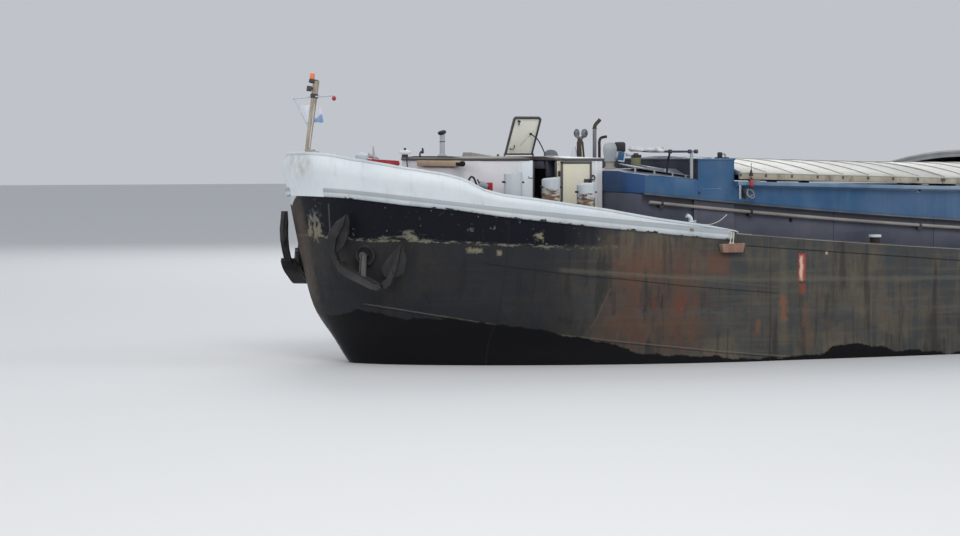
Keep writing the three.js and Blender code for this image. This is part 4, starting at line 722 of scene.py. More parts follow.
def addLoft(bm, rings, mat=0):
    # closed skin through rings of points, each ring with the same count
    count = len(rings[0])
    last = len(rings) - 1
    part = formSheet(last, count, lambda u, w: Vector(rings[round(u * last)][round(w * count) % count]), closed=True)
    bmesh.ops.holes_fill(part, edges=[e for e in part.edges if e.is_boundary], sides=0)
    merge(bm, part, mat)


def smoothPath(points, steps):
    if steps < 2:
        return [Vector(p) for p in points]
    pts = [Vector(p) for p in points]
    pts = [2 * pts[0] - pts[1]] + pts + [2 * pts[-1] - pts[-2]]
    path = []
    for a, b, c, d in zip(pts, pts[1:], pts[2:], pts[3:]):
        for i in range(steps):
            t = i / steps
            square, cube = 2 * a - 5 * b + 4 * c - d, 3 * b - a - 3 * c + d
            path.append(0.5 * (2 * b + (c - a) * t + square * t * t + cube * t ** 3))
    return path + [pts[-2]]


def addPipe(bm, points, radius, mat=0, sides=10, steps=5):
    path = smoothPath(points, steps)
    angles = [2 * math.pi * k / sides for k in range(sides)]
    normal = None
    rings = []
    for i, point in enumerate(path):
        ahead = (path[min(i + 1, len(path) - 1)] - path[max(i - 1, 0)]).normalized()
        if normal is None:
            normal = ahead.orthogonal().normalized()
        normal = (normal - ahead * normal.dot(ahead)).normalized()
        side = ahead.cross(normal)
        rings.append([point + (normal * math.cos(a) + side * math.sin(a)) * radius for a in angles])
    addLoft(bm, rings, mat)


def copyNode(bm, name, pick=None, bevel=0.006, angle=30, segments=2, cuts=()):
    # the CAD node's own shape with its edges eased; pick gives a face's material from its centre and normal,
    # and cuts are planes (point, normal) where the colour changes
    part = bmesh.new()
    part.from_mesh(nodes[name].data)
    bmesh.ops.scale(part, vec=(1 / shipScale,) * 3, verts=part.verts)
    bmesh.ops.remove_doubles(part, verts=part.verts, dist=0.0003)
    bmesh.ops.dissolve_limit(part, angle_limit=math.radians(0.6), verts=part.verts, edges=part.edges)
    for point, way in cuts:
        bisect(part, point, way)
    for face in part.faces:
        face.material_index = pick(face.calc_center_median(), face.normal) if pick else 0
    if bevel:
        sharp = [e for e in part.edges if len(e.link_faces) == 2 and e.calc_face_angle(0) > math.radians(angle)]
        ease(part, sharp, bevel, segments, clamp_overlap=True)
    merge(bm, part, None, fixNormals=False)


def finishPiece(bm, name, mats, body="ship", replaced=(), sharp=35):
    bmesh.ops.scale(bm, vec=(shipScale,) * 3, verts=bm.verts)
    mesh = bpy.data.meshes.new(name)
    bm.to_mesh(mesh)
    bm.free()
    for mat in mats:
        mesh.materials.append(materials[mat])
    mesh.shade_smooth()
    mesh.set_sharp_from_angle(angle=math.radians(sharp))
    piece = bpy.data.objects.new(name, mesh)
    scene.collection.objects.link(piece)
    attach(piece, body)
    if replaced:
        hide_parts(*replaced)
    return piece


def plainPiece(name, mats, slotName, names, pick=None, sharp=35, **easing):
    # a piece that is only the eased shape of one or more nodes of a body
    bm = bmesh.new()
    for node in names:
        copyNode(bm, node, pick, **easing)
    finishPiece(bm, name, mats, names[0] if names[0] in frame["bodies"] else "ship", names, sharp)


# ---- camera, light and floor
view = {"place": (26.632, 27.864, 2.35), "heading": 28.0, "down": 2.079, "lens": 121.875, "floor": 0.325}


def makeStage():
    heading, down = math.radians(view["heading"]), math.radians(view["down"])
    aim = Vector((-math.sin(heading) * math.cos(down), -math.cos(heading) * math.cos(down), -math.sin(down)))
    camera = bpy.data.objects.new("camera", bpy.data.cameras.new("camera"))
    camera.location = view["place"]
    camera.rotation_euler = aim.to_track_quat("-Z", "Y").to_euler()
    camera.data.lens = view["lens"]
    camera.data.sensor_width = 36.0
    camera.data.clip_end = 500.0
    scene.collection.objects.link(camera)
    scene.camera = camera
    floorMesh = bmesh.new()
    bmesh.ops.create_grid(floorMesh, x_segments=8, y_segments=8, size=150,
                          matrix=Matrix.Translation((0, 0, view["floor"])))
    mesh = bpy.data.meshes.new("floor")
    floorMesh.to_mesh(mesh)
    floorMesh.free()
    ground = bpy.data.materials.new("floorPale")
    ground.use_nodes = True
    shader = ground.node_tree.nodes["Principled BSDF"]
    shader.inputs["Base Color"].default_value = (0.62, 0.63, 0.64, 1)
    shader.inputs["Roughness"].default_value = 0.7
    mesh.materials.append(ground)
    floor = bpy.data.objects.new("floor", mesh)
    scene.collection.objects.link(floor)
    world = bpy.data.worlds.new("studio")
    world.use_nodes = True
    world.node_tree.nodes["Background"].inputs["Color"].default_value = (0.82, 0.86, 0.92, 1)
    world.node_tree.nodes["Background"].inputs["Strength"].default_value = 0.64
    scene.world = world
    for name, place, size, power, colour in (
            ("key", (22, 26, 20), 14, 4600, (1, 0.97, 0.93)), ("side", (-16, 22, 16), 16, 2500, (0.95, 0.97, 1)),
            ("back", (-4, -26, 18), 18, 2800, (1, 1, 1)), ("front", (34, -6, 12), 10, 1300, (1, 0.98, 0.96))):
        lamp = bpy.data.lights.new(name, "AREA")
        lamp.size = size
        lamp.energy = power
        lamp.color = colour
        light = bpy.data.objects.new(name, lamp)
        light.location = place
        target = Vector((4 if abs(place[0]) < 20 else place[0] * 0.4, 0, 1))
        light.rotation_euler = (target - Vector(place)).to_track_quat("-Z", "Y").to_euler()
        scene.collection.objects.link(light)
    scene.view_settings.view_transform = "Standard"


makeStage()
print("stage set")


# ---- hull
def bowColumn(turn):
    # points of one frame of the bow, from the bottom to the deck edge
    side = math.copysign(1, turn)
    points = []
    for level in bowLevels:
        x, y = bowPoint(level, abs(turn))
        points.append(Vector((x, side * y, deckZ(x) if level[0] is None else level[0])))
    return points[:2] + smoothPath(points[2:], 6)


def makeBowHull():
    bm = bmesh.new()
    steps = 120
    columns = [bowColumn(1 - 2 * i / steps) for i in range(steps + 1)]
    rows = len(columns[0]) - 1
    skin = formSheet(steps, rows, lambda u, w: columns[round(u * steps)][round(w * rows)])
    # bottom, bulkhead and deck close the skin from side to side
    half = columns[:steps // 2 + 1]

    def between(across, rowsOver, edgeAt):
        def placeAt(u, w):
            edge = edgeAt(u)
            return Vector((edge.x, edge.y * (1 - 2 * w), edge.z))
        return formSheet(across, rowsOver, placeAt)

    bottom = between(steps // 2, 8, lambda u: Vector((*half[round(u * steps / 2)][0].xy, 0)))
    wall = between(rows, 8, lambda u: Vector((ship["bulkhead"], *half[0][round(u * rows)].yz)))
    deck = between(steps // 2, 16, lambda u: half[round(u * steps / 2)][-1])
    for face in deck.faces:
        face.material_index = 1
    # the deck is open under the fore house; the pit's walls and floor are near-black as painted shade
    pit = {"aft": 22.1, "fore": 24.4, "half": 1.5, "floor": 1.9}
    for point, way in (((pit["aft"], 0, 0), (1, 0, 0)), ((pit["fore"], 0, 0), (1, 0, 0)),
                       ((0, pit["half"], 0), (0, 1, 0)), ((0, -pit["half"], 0), (0, 1, 0))):
        bisect(deck, point, way)

    def overPit(place, slack=0.0):
        return pit["aft"] - slack < place.x < pit["fore"] + slack and abs(place.y) < pit["half"] + slack

    inside = [f for f in deck.faces if overPit(f.calc_center_median())]
    bmesh.ops.delete(deck, geom=inside, context="FACES")
    rim = [e for e in deck.edges if e.is_boundary and all(overPit(v.co, 0.01) for v in e.verts)]
    walls = bmesh.ops.extrude_edge_only(deck, edges=rim)["geom"]
    for vert in (g for g in walls if isinstance(g, bmesh.types.BMVert)):
        vert.co.z = pit["floor"]
    for face in (g for g in walls if isinstance(g, bmesh.types.BMFace)):
        face.material_index = 2
    foot = [e for e in deck.edges if e.is_boundary and all(abs(v.co.z - pit["floor"]) < 0.001 for v in e.verts)]
    for face in bmesh.ops.holes_fill(deck, edges=foot, sides=0)["faces"]:
        face.material_index = 2
    for part in (skin, bottom, wall, deck):
        merge(bm, part, None, fixNormals=False)
    bmesh.ops.remove_doubles(bm, verts=bm.verts, dist=0.0005)
    bmesh.ops.recalc_face_normals(bm, faces=bm.faces)
    finishPiece(bm, "bowHull", ["hullPaint", "deckGrey", "cabinDark"], replaced=["hull_bow"])


# waterline of the bow as in bowLevels, the place along it as a share of a right angle, and how far the pipe dips
hawse = {"level": (2.75, 27.208, 2.391, 3.3), "turn": 20.9 / 90, "dip": 0.12}


def hawsePlace(side):
    x, y = bowPoint(hawse["level"], hawse["turn"])
    x1, y1 = bowPoint(hawse["level"], hawse["turn"] + 0.01)
    out = Vector((y1 - y, x - x1, 0)).normalized()
    return Vector((x, y * side, hawse["level"][0])), Vector((out.x, out.y * side, -hawse["dip"])).normalized()


def makeHawses():
    bm = bmesh.new()
    for side in (1, -1):
        at, out = hawsePlace(side)
        addRod(bm, at - out * 0.3, at + out * 0.02, 0.205, 0.19, sides=36, bevel=0.015)
        addRing(bm, at + out * 0.015, out, 0.17, 0.036, steps=36)
        # a near-black disc inside each pipe is painted shade in its hole
        addRod(bm, at - out * 0.1, at + out * 0.024, 0.138, sides=36, mat=1)
    finishPiece(bm, "hawsePipes", ["rustIron", "cabinDark"])


def makeSides():
    bm = bmesh.new()
    for side in ("port", "starboard"):
        copyNode(bm, "hull_side_" + side, lambda c, n: 1 if n.z > 0.7 else 2 if abs(c.y) < 2.56 else 0, bevel=0.004)
    # a rounded bar along the deck edge, and low mooring posts with worn heads
    xs = [19.85, 19.6] + [19.3 - i * 0.6 for i in range(64)]
    bar = 0.012
    row = 3.13
    for side in (1, -1):
        addPipe(bm, [(x, side * (halfAt(x) - bar), deckZ(x) + bar) for x in xs], 0.014, mat=3, sides=8, steps=1)
        for x in (16.53, 6.0, -3.5, -13.0):
            z = deckZ(x)
            addTurned(bm, [(0.0, z - 0.02), (0.1, z - 0.02), (0.1, z + 0.01), (0.097, z + 0.15)], (x, side * row, 0),
                      mat=4)
            addTurned(bm, [(0.0, z + 0.15), (0.125, z + 0.15), (0.128, z + 0.185), (0.115, z + 0.2), (0.0, z + 0.203)],
                      (x, side * row, 0), mat=5)
    finishPiece(bm, "hullSides", ["hullPaint", "deckGrey", "holdBrown", "pipeTan", "rustBrown", "paleGrey"],
                replaced=["hull_side_port", "hull_side_starboard"])


engineRoom = {"half": 1.31, "aft": -22.21, "fore": -19.9, "floor": 0.49}


def pickStern(c, n):
    room = engineRoom
    if n.z > 0.7 and c.z > 2.2:
        return 1
    # the inside of the engine room is near-black: painted shade
    return 2 if abs(c.y) < room["half"] and room["aft"] < c.x < room["fore"] and c.z > room["floor"] else 0


# x against the bulwark's height over the deck
bowHeights = [(19.6, 0.06), (20.16, 0.104), (20.53, 0.138), (21.6, 0.184), (22.29, 0.236), (22.62, 0.263),
              (24.02, 0.33), (24.68, 0.352), (25.02, 0.414), (25.35, 0.565), (25.69, 0.627), (26.38, 0.676),
              (27.05, 0.754), (27.5, 0.86)]


def bowStops(count):
    stops = []
    for i in range(count + 1):
        turn = 1 - 2 * i / count
        side = math.copysign(1, turn) if abs(turn) > 1e-6 else 1
        size = min(abs(turn), 0.985)
        x, y = bowPoint(deckLevel, size)
        xa, ya = bowPoint(deckLevel, min(1, size + 0.01))
        xb, yb = (x, -ya) if size < 0.01 else bowPoint(deckLevel, size - 0.01)
        out = Vector((ya - yb, xb - xa)).normalized()
        if abs(turn) < 1e-6:
            out = Vector((1, 0))
        stops.append({"x": x, "y": y * side, "nx": out.x, "ny": 0 if abs(turn) < 1e-6 else out.y * side})
    return stops


def sternStops():
    steps = [0.25 + 0.746 * i / 24 for i in range(25)]
    side = []
    for t in steps:
        x = ship["shoulder"] + t * (ship["sternEnd"] - ship["shoulder"])
        slope = (halfAt(x + 0.005) - halfAt(x - 0.005)) / 0.01
        out = Vector((-slope, 1)).normalized()
        side.append({"x": x, "y": halfAt(x), "nx": out.x, "ny": out.y})
    back = {"x": ship["sternEnd"] + 0.003, "y": 0, "nx": -1, "ny": 0}
    return side + [back] + [{**s, "y": -s["y"], "ny": -s["ny"]} for s in reversed(side)]


def addCarried(bm, stops, section, mat):
    # a section of (outward, height) points swept along the deck edge
    rings = [[(s["x"] + s["nx"] * n, s["y"] + s["ny"] * n, z) for n, z in section(s)] for s in stops]
    addLoft(bm, rings, mat)


def roundBar(n, z, rn, rz, count=12):
    return [(n + rn * math.cos(2 * math.pi * i / count), z + rz * math.sin(2 * math.pi * i / count))
            for i in range(count)]


def bowEdge(stop):
    x, off = stop["x"], abs(stop["y"])
    z = deckZ(x)
    forward = clamp01((x - 22) / 5)
    return {"deck": z, "top": z + valueAlong(bowHeights, x), "flare": 0.02 + 0.1 * forward,
            "foot": z + valueAlong(bowFeet, x), "tuck": 0.075 * forward * clamp01((off - 0.35) / 0.5),
            "strake": 0.02 + 0.04 * clamp01((off - 0.5) / 0.7), "strakeTop": z + valueAlong(strakeTops, x)}


def makeBulwarks():
    bm = bmesh.new()
    stops = bowStops(150)

    def plate(stop):
        # leans out, then comes back in toward its top
        e = bowEdge(stop)
        base = e["deck"] + 0.045
        span = e["top"] - 0.038 - base
        lean = e["flare"] - 0.008
        outer = [(0.006, e["foot"]), (0.008, base)] + [(0.008 + lean * n - e["tuck"] * back, base + span * t) for n,
                back, t in ((0.5, 0, 0.33), (0.86, 0, 0.55), (1, 0.03, 0.68), (1, 0.4, 0.85), (1, 1, 1))]
        return outer + [(n - 0.022, z) for n, z in reversed(outer[1:])] + [(-0.016, e["deck"] + 0.002),
                (0.0015, e["deck"] - 0.002), (0.0015, e["foot"])]

    def cap(stop):
        e = bowEdge(stop)
        return roundBar(e["flare"] - e["tuck"] - 0.017, e["top"] - 0.03, 0.034, 0.03)

    def strake(stop):
        e = bowEdge(stop)
        middle, half = (e["strakeTop"] + e["foot"]) / 2, (e["strakeTop"] - e["foot"]) / 2
        lean = e["flare"] * 0.25
        turns = [math.radians(a) for a in (-80, -55, -25, 0, 25, 55, 80)]
        bulge = [(0.004 + e["strake"] * math.cos(a) + lean * clamp01(math.sin(a)), middle + half * math.sin(a))
                 for a in turns]
        return [(0.002, middle - half * 0.98)] + bulge + [(0.002, middle + half * 0.98)]

    addCarried(bm, stops, plate, 0)
    addCarried(bm, stops, cap, 1)
    for side in (1, -1):
        addCarried(bm, [stop for stop in stops if stop["y"] * side > 0.74], strake, 1)
    # knees inside the bulwark
    for stop in bowStops(34)[2:-2]:
        e = bowEdge(stop)
        if e["top"] - e["deck"] < 0.25:
            continue
        base = Vector((stop["x"], stop["y"], e["deck"]))
        out = Vector((stop["nx"], stop["ny"], 0))
        across = Vector((-out.y, out.x, 0)) * 0.006
        rim = base + out * (e["flare"] - e["tuck"] - 0.05) + Vector((0, 0, e["top"] - e["deck"] - 0.07))
        corners = [base - out * 0.02, base - out * 0.2, rim]
        addLoft(bm, [[c - across for c in corners], [c + across for c in corners]], 0)
    finishPiece(bm, "bowBulwark", ["bulwarkWhite", "strakeGrey"], replaced=["bulwark_bow"])

    bm = bmesh.new()
    stops = sternStops()

    def sternEdge(stop):
        z = deckZ(stop["x"])
        return z, z + 0.62 - 0.2 * clamp01((stop["x"] + 24) / 2)

    def sternPlate(stop):
        deck, top = sternEdge(stop)
        return [(0.004, deck - 0.06), (0.04, top - 0.03), (0.018, top - 0.03), (-0.018, deck + 0.002),
                (0.0015, deck - 0.002), (0.0015, deck - 0.06)]

    def sternCap(stop):
        return roundBar(0.022, sternEdge(stop)[1] - 0.03, 0.034, 0.03)

    def sternStrake(stop):
        deck = sternEdge(stop)[0]
        return [(0.002, deck - 0.08), (0.04, deck - 0.07), (0.05, deck - 0.05), (0.05, deck), (0.04, deck + 0.02),
                (0.006, deck + 0.04)]

    for section, mat in ((sternPlate, 0), (sternCap, 1), (sternStrake, 1)):
        addCarried(bm, stops, section, mat)
    finishPiece(bm, "sternBulwark", ["bulwarkWhite", "strakeGrey"], replaced=["bulwark_stern"])


makeBowHull()
makeHawses()
makeSides()
plainPiece("hullBottom", ["hullPaint", "holdBrown"], "hull_black", ["hull_bottom"], lambda c, n: 1 if n.z > 0.7 else 0)
plainPiece("sternHull", ["hullPaint", "deckGrey", "cabinDark"], "hull_black", ["hull_stern"], pickStern, sharp=28,
           bevel=0.012, angle=40)
makeBulwarks()
print("hull done")


# ---- hold, its covers and the trunk
def makeCoamings():
    bm = bmesh.new()

    def pick(c, n):
        top = coamingZ(c.x)
        if c.z > top - 0.1:
            return 1
        if abs(c.y) < 2.57:
            return 3
        return 0 if c.z > ledgeZ(c.x) - 0.012 else 2

    for side in ("port", "starboard"):
        copyNode(bm, "coaming_" + side, pick, bevel=0.004, angle=20)
    for side in (1, -1):
        # pale edge of the ledge, the pipe below it and its clamps
        xs = [21.47 - i * 0.55 for i in range(74)]
        addPipe(bm, [(x, side * 2.786, ledgeZ(x) - 0.16) for x in xs], 0.033, mat=4, sides=10, steps=1)
        rings = [[(x, side * y, ledgeZ(x) + z) for y, z in ((2.74, -0.026), (2.796, -0.02), (2.802, 0.002),
                (2.74, 0.012))] for x in [21.57] + xs[1:]]
        addLoft(bm, rings, 5)
        # rail standing proud along the top
        rings = [[(x, side * y, coamingZ(x) + z) for y, z in ((2.74, -0.1), (2.792, -0.096), (2.8, -0.088),
                (2.8, -0.012), (2.792, -0.004), (2.74, -0.002))] for x in (19.5, ship["knee"], 5.0, -7.0, -18.88)]
        addLoft(bm, rings, 1)
        for x in [21.2, 19.19, 15.21, 11.2, 7.2, 3.2, -0.8, -4.8, -8.8, -12.8, -16.8]:
            z = ledgeZ(x) - 0.16
            addRod(bm, (x - 0.022, side * 2.786, z), (x + 0.022, side * 2.786, z), 0.05, sides=16, mat=6, bevel=0.006)
            addSideBox(bm, side, (x - 0.03, 2.69, z - 0.085), (x + 0.05, 2.81, z - 0.03), mat=6)
        # stays between the pipe and the deck
        for i in range(15):
            x = 17.2 - i * 2.4
            addRod(bm, (x, side * 2.705, ledgeZ(x) - 0.02), (x, side * 2.705, deckZ(x) + 0.02), 0.012, sides=8, mat=2)
    finishPiece(bm, "coamings", ["blue", "railBlue", "coamingGrey", "holdBrown", "pipeTan", "cowlGrey", "darkIron"],
                replaced=["coaming_port", "coaming_starboard"])


def makeEndBoxes():
    bm = bmesh.new()
    copyNode(bm, "coaming_front_box", lambda c, n: 2 if n.x > 0.7 and abs(c.y) < 2.7 else 1 if c.z < ledgeZ(c.x) else 0,
             bevel=0.003, cuts=[((19.95, 0, ledgeZ(19.95)), (ledgeZ(19) - ledgeZ(20), 0, 1))])
    for side in (1, -1):
        y = side * 2.752
        # light seam, and a dark disc as painted shade for a drain hole
        addSideBox(bm, side, (19.85, 2.752, 3.952), (20.28, 2.757, 3.962), 0.002, mat=3)
        addRod(bm, (20.345, y - side * 0.02, 3.88), (20.345, y + side * 0.012, 3.88), 0.026, sides=20, mat=4)
        # fillets where the trunk meets the box
        for low, high, mat in ((3.12, ledgeZ(20.4), 1), (ledgeZ(20.4), 4.12, 0)):
            addLoft(bm, [[(20.38, side * 2.764, z), (20.38, side * 2.744, z), (20.46, side * 2.744, z),
                          (20.46, side * 2.7505, z)] for z in (low, high)], mat)
    # knobs on the fore edge, and a fairlead on the top
    for z in (4.5, 4.42):
        addBall(bm, (20.36, 2.68, z), 0.035, mat=4, sides=12)
    addBox(bm, (19.44, 2.2, 4.54), (19.66, 2.4, 4.562), 0.01, mat=4)
    addPipe(bm, [(19.57, 2.3, 4.55), (19.56, 2.3, 4.6), (19.51, 2.3, 4.63), (19.47, 2.3, 4.6), (19.47, 2.3, 4.55)],
            0.018, mat=5)
    addBox(bm, (19.55, 2.26, 4.55), (19.64, 2.34, 4.66), 0.025, mat=4, segments=3)
    finishPiece(bm, "frontBox", ["blue", "coamingGrey", "wellDark", "railBlue", "darkIron", "vesselGrey"],
                replaced=["coaming_front_box"])
    plainPiece("aftBox", ["blue", "coamingGrey"], "blue_paint", ["coaming_aft_box"], lambda c,
               n: 1 if abs(n.x) > 0.7 else 0, bevel=0.008)


def makeTrunk():
    bm = bmesh.new()

    def pick(c, n):
        if c.z < ledgeZ(c.x) - 0.015:
            return 1
        if abs(n.z) > 0.45 and abs(c.y) < 2.57 and c.x < 21.8:
            return 2
        return 0

    copyNode(bm, "fore_trunk", pick, bevel=0.006, angle=24, cuts=[((21, 0, ledgeZ(21)),
            (ledgeZ(20.5) - ledgeZ(21.5), 0, 1))])
    # light bead along the rim of each side
    for side in (1, -1):
        xs = [20.4, 20.8, 21.2, 21.44]
        addPipe(bm, [(x, side * 2.745, 4.132 + (x - 20.37) * 0.082) for x in xs], 0.011, sides=8, steps=1)
    finishPiece(bm, "foreTrunk", ["blue", "coamingGrey", "lidGrey", "vesselGrey"],
                replaced=["fore_trunk"], sharp=25)
    # sloping lid plates on short stanchions, with a bracket at the fore corner
    bm = bmesh.new()
    for side in (1, -1):
        low = [(21.6, side * 2.28, 4.375), (20.42, side * 2.5, 4.2), (20.42, side * 1.85, 4.215),
               (21.6, side * 1.85, 4.43)]
        addLoft(bm, [low, [(x, y, z + 0.02) for x, y, z in low]], 0)
        inner = [(21.2, side * 2.3, 4.34), (20.9, side * 2.38, 4.3), (20.9, side * 1.95, 4.325),
                 (21.2, side * 1.95, 4.38)]
        addLoft(bm, [inner, [(x, y, z + 0.04) for x, y, z in inner]], 0)
        for x, y in ((21.5, 2.3), (21.12, 2.38), (20.75, 2.44), (20.48, 2.48)):
            addRod(bm, (x, side * y, 4.1), (x, side * y, 4.215 + (x - 20.45) * 0.14), 0.018, sides=10, mat=1)
    finishPiece(bm, "trunkLids", ["lidGrey", "vesselGrey"])


coverSizes = {"pitch": 4.8, "gap": 0.01, "lap": 0.05, "eave": 0.18, "crown": 0.29, "raise": 0.25, "high": 2.955,
              "low": 2.85, "parked": 2.1, "seams": 8}


def makeCover(index):
    c = coverSizes
    raised = index in (3, 5, 7)
    up = c["raise"] if raised else 0
    width = c["high"] if raised else c["low"]
    lap = -c["lap"] if raised else c["gap"]
    shift = c["parked"] if index == 3 else 0
    fore = 19.5 - (index - 1) * c["pitch"] - lap + shift
    aft = 19.5 - index * c["pitch"] + lap + shift

    def archZ(x, t):
        # height of the roof at the share t of its half width
        return coamingZ(fore) + slope * (x - fore) + c["eave"] + up + c["crown"] * (1 - t * t)

    bm = bmesh.new()
    slope = (coamingZ(fore) - coamingZ(aft)) / (fore - aft)

    def pick(centre, n):
        base = coamingZ(aft) + slope * (centre.x - aft)
        if abs(centre.y) > width - 0.03 and abs(n.z) < 0.3:
            return 1
        return 0 if n.z > 0.1 and centre.z > base + c["eave"] * 0.9 else 2

    copyNode(bm, "hatch_cover_%d" % index, pick, bevel=0.008, angle=35)
    half = width + 0.004
    ts = [i / 10 - 1 for i in range(21)]
    for k in range(c["seams"] + 1):
        x = fore + (aft - fore) * k / c["seams"]
        x = min(fore - 0.02, max(aft + 0.02, x))
        for wide, high, mat in ((0.03, 0.007, 0), (0.007, 0.012, 3)):
            section = ((-wide, -0.02), (-wide * 0.8, high), (wide * 0.8, high), (wide, -0.02))
            rings = [[(x + dx, t * half, archZ(x, t) + dz) for dx, dz in section] for t in ts]
            addLoft(bm, rings, 2 if index == 1 and k == 0 else mat)
        # toggles low on the skirt under each seam, on the low covers clear of the pads of a raised one
        foot = coamingZ(x) + (0.05 if raised else 0.096)
        for side in (1, -1):
            addSideBox(bm, side, (x - 0.018, width, foot), (x + 0.018, width + 0.022, foot + 0.05), 0.005, mat=3)
    deep = 0.13 if index == 3 else 0.05
    for x in (fore - 0.03, aft + 0.03):
        # arched end plate
        section = ((-0.02, -deep), (-0.02, -0.01), (0.02, -0.01), (0.02, -deep))
        rings = [[(x + dx, t * (half - 0.02), archZ(x, t) + dz) for dx, dz in section] for t in ts]
        addLoft(bm, rings, 2)
    for side in (1, -1):
        # bead along the top of the skirt
        line = [(x, side * (width + 0.002), coamingZ(x) + c["eave"] + up - 0.012)
                for x in (aft + 0.01, (aft + fore) / 2, fore - 0.01)]
        addPipe(bm, line, 0.014, sides=8, steps=1)
    body = "hatch_cover_%d" % index if raised else "ship"
    finishPiece(bm, "hatchCover%d" % index, ["coverCream", "coverSkirt", "lidGrey", "trimBrown"], body,
                ["hatch_cover_%d" % index])


makeCoamings()
makeEndBoxes()
makeTrunk()
for number in range(1, 9):
    makeCover(number)
print("hold covered")


# ---- fore house
house = {"aft": 21.9, "fore": 24.8, "shoulder": 24.1, "half": 1.745, "frontHalf": 1.0, "top": 4.5, "roof": 0.045}


def makeForeHouse():
    bm = bmesh.new()
    # the inside faces of the walls are near-black: painted shade
    copyNode(bm, "fore_house_walls", lambda c, n: 1 if (abs(c.y) < 1.7 and c.x < 24.05
            and (n.y * c.y < 0 or abs(n.x) > 0.7) and c.x > 21.96) else 0, bevel=0.01, angle=40)
    y = house["half"]
    for low, high, bevel, mat in (
            # bright strips beside the doorway and at the aft corner
            ((23.43, y - 0.01, 3.5), (23.68, y + 0.008, 4.49), 0.004, 2),
            ((22.02, y - 0.01, 3.5), (22.08, y + 0.012, 4.49), 0.004, 2),
            ((22.79, y - 0.01, 3.6), (22.9, y + 0.006, 4.49), 0.003, 5),
            # frame of the doorway, and the dark panels seen through it, which are painted shade inside the house
            ((23.4, y - 0.05, 3.5), (23.43, y + 0.015, 4.48), 0.004, 3),
            ((22.9, y - 0.05, 3.5), (22.925, y + 0.006, 4.48), 0.003, 3),
            ((22.74, 1.36, 4.18), (22.94, 1.42, 4.49), 0.01, 7),
            ((22.2, -1.2, 4.34), (22.93, 1.25, 4.49), 0.01, 4),
            ((22.93, -1.2, 4.34), (23.4, 0.8, 4.49), 0.01, 4)):
        addBox(bm, low, high, bevel, mat)
    # grab handle, ring and small hooks on the wall
    addPipe(bm, [(23.52, y + 0.005, 4.2), (23.51, y + 0.014, 4.17), (23.43, y + 0.014, 4.17), (23.42, y + 0.005, 4.16)],
            0.007, mat=3, steps=3)
    addRing(bm, (22.12, y + 0.03, 4.17), (0, 1, 0), 0.04, 0.009, mat=6)
    addBox(bm, (22.1, y, 4.2), (22.14, y + 0.03, 4.225), 0.004, mat=6)
    for z in (4.43, 4.2, 3.95):
        addBall(bm, (22.87, y + 0.002, z), 0.011, mat=6, sides=8)
    finishPiece(bm, "foreHouseWalls", ["houseWhite", "cabinDark", "bulwarkWhite", "trimBrown", "coamingGrey",
                                       "doorCream", "rustBrown", "wellDark"],
                                       replaced=["fore_house_walls"])
    # the roof is pale over the cabin steps
    felt = 22.72
    plainPiece("foreHouseRoof", ["roofFelt", "trimBrown", "paleGrey"], "white_paint", ["fore_house_roof"], lambda c,
               n: 1 if n.z < 0.5 else 2 if c.x < felt else 0, bevel=0.012, angle=30, cuts=[((felt, 0, 4.5), (1, 0, 0))])


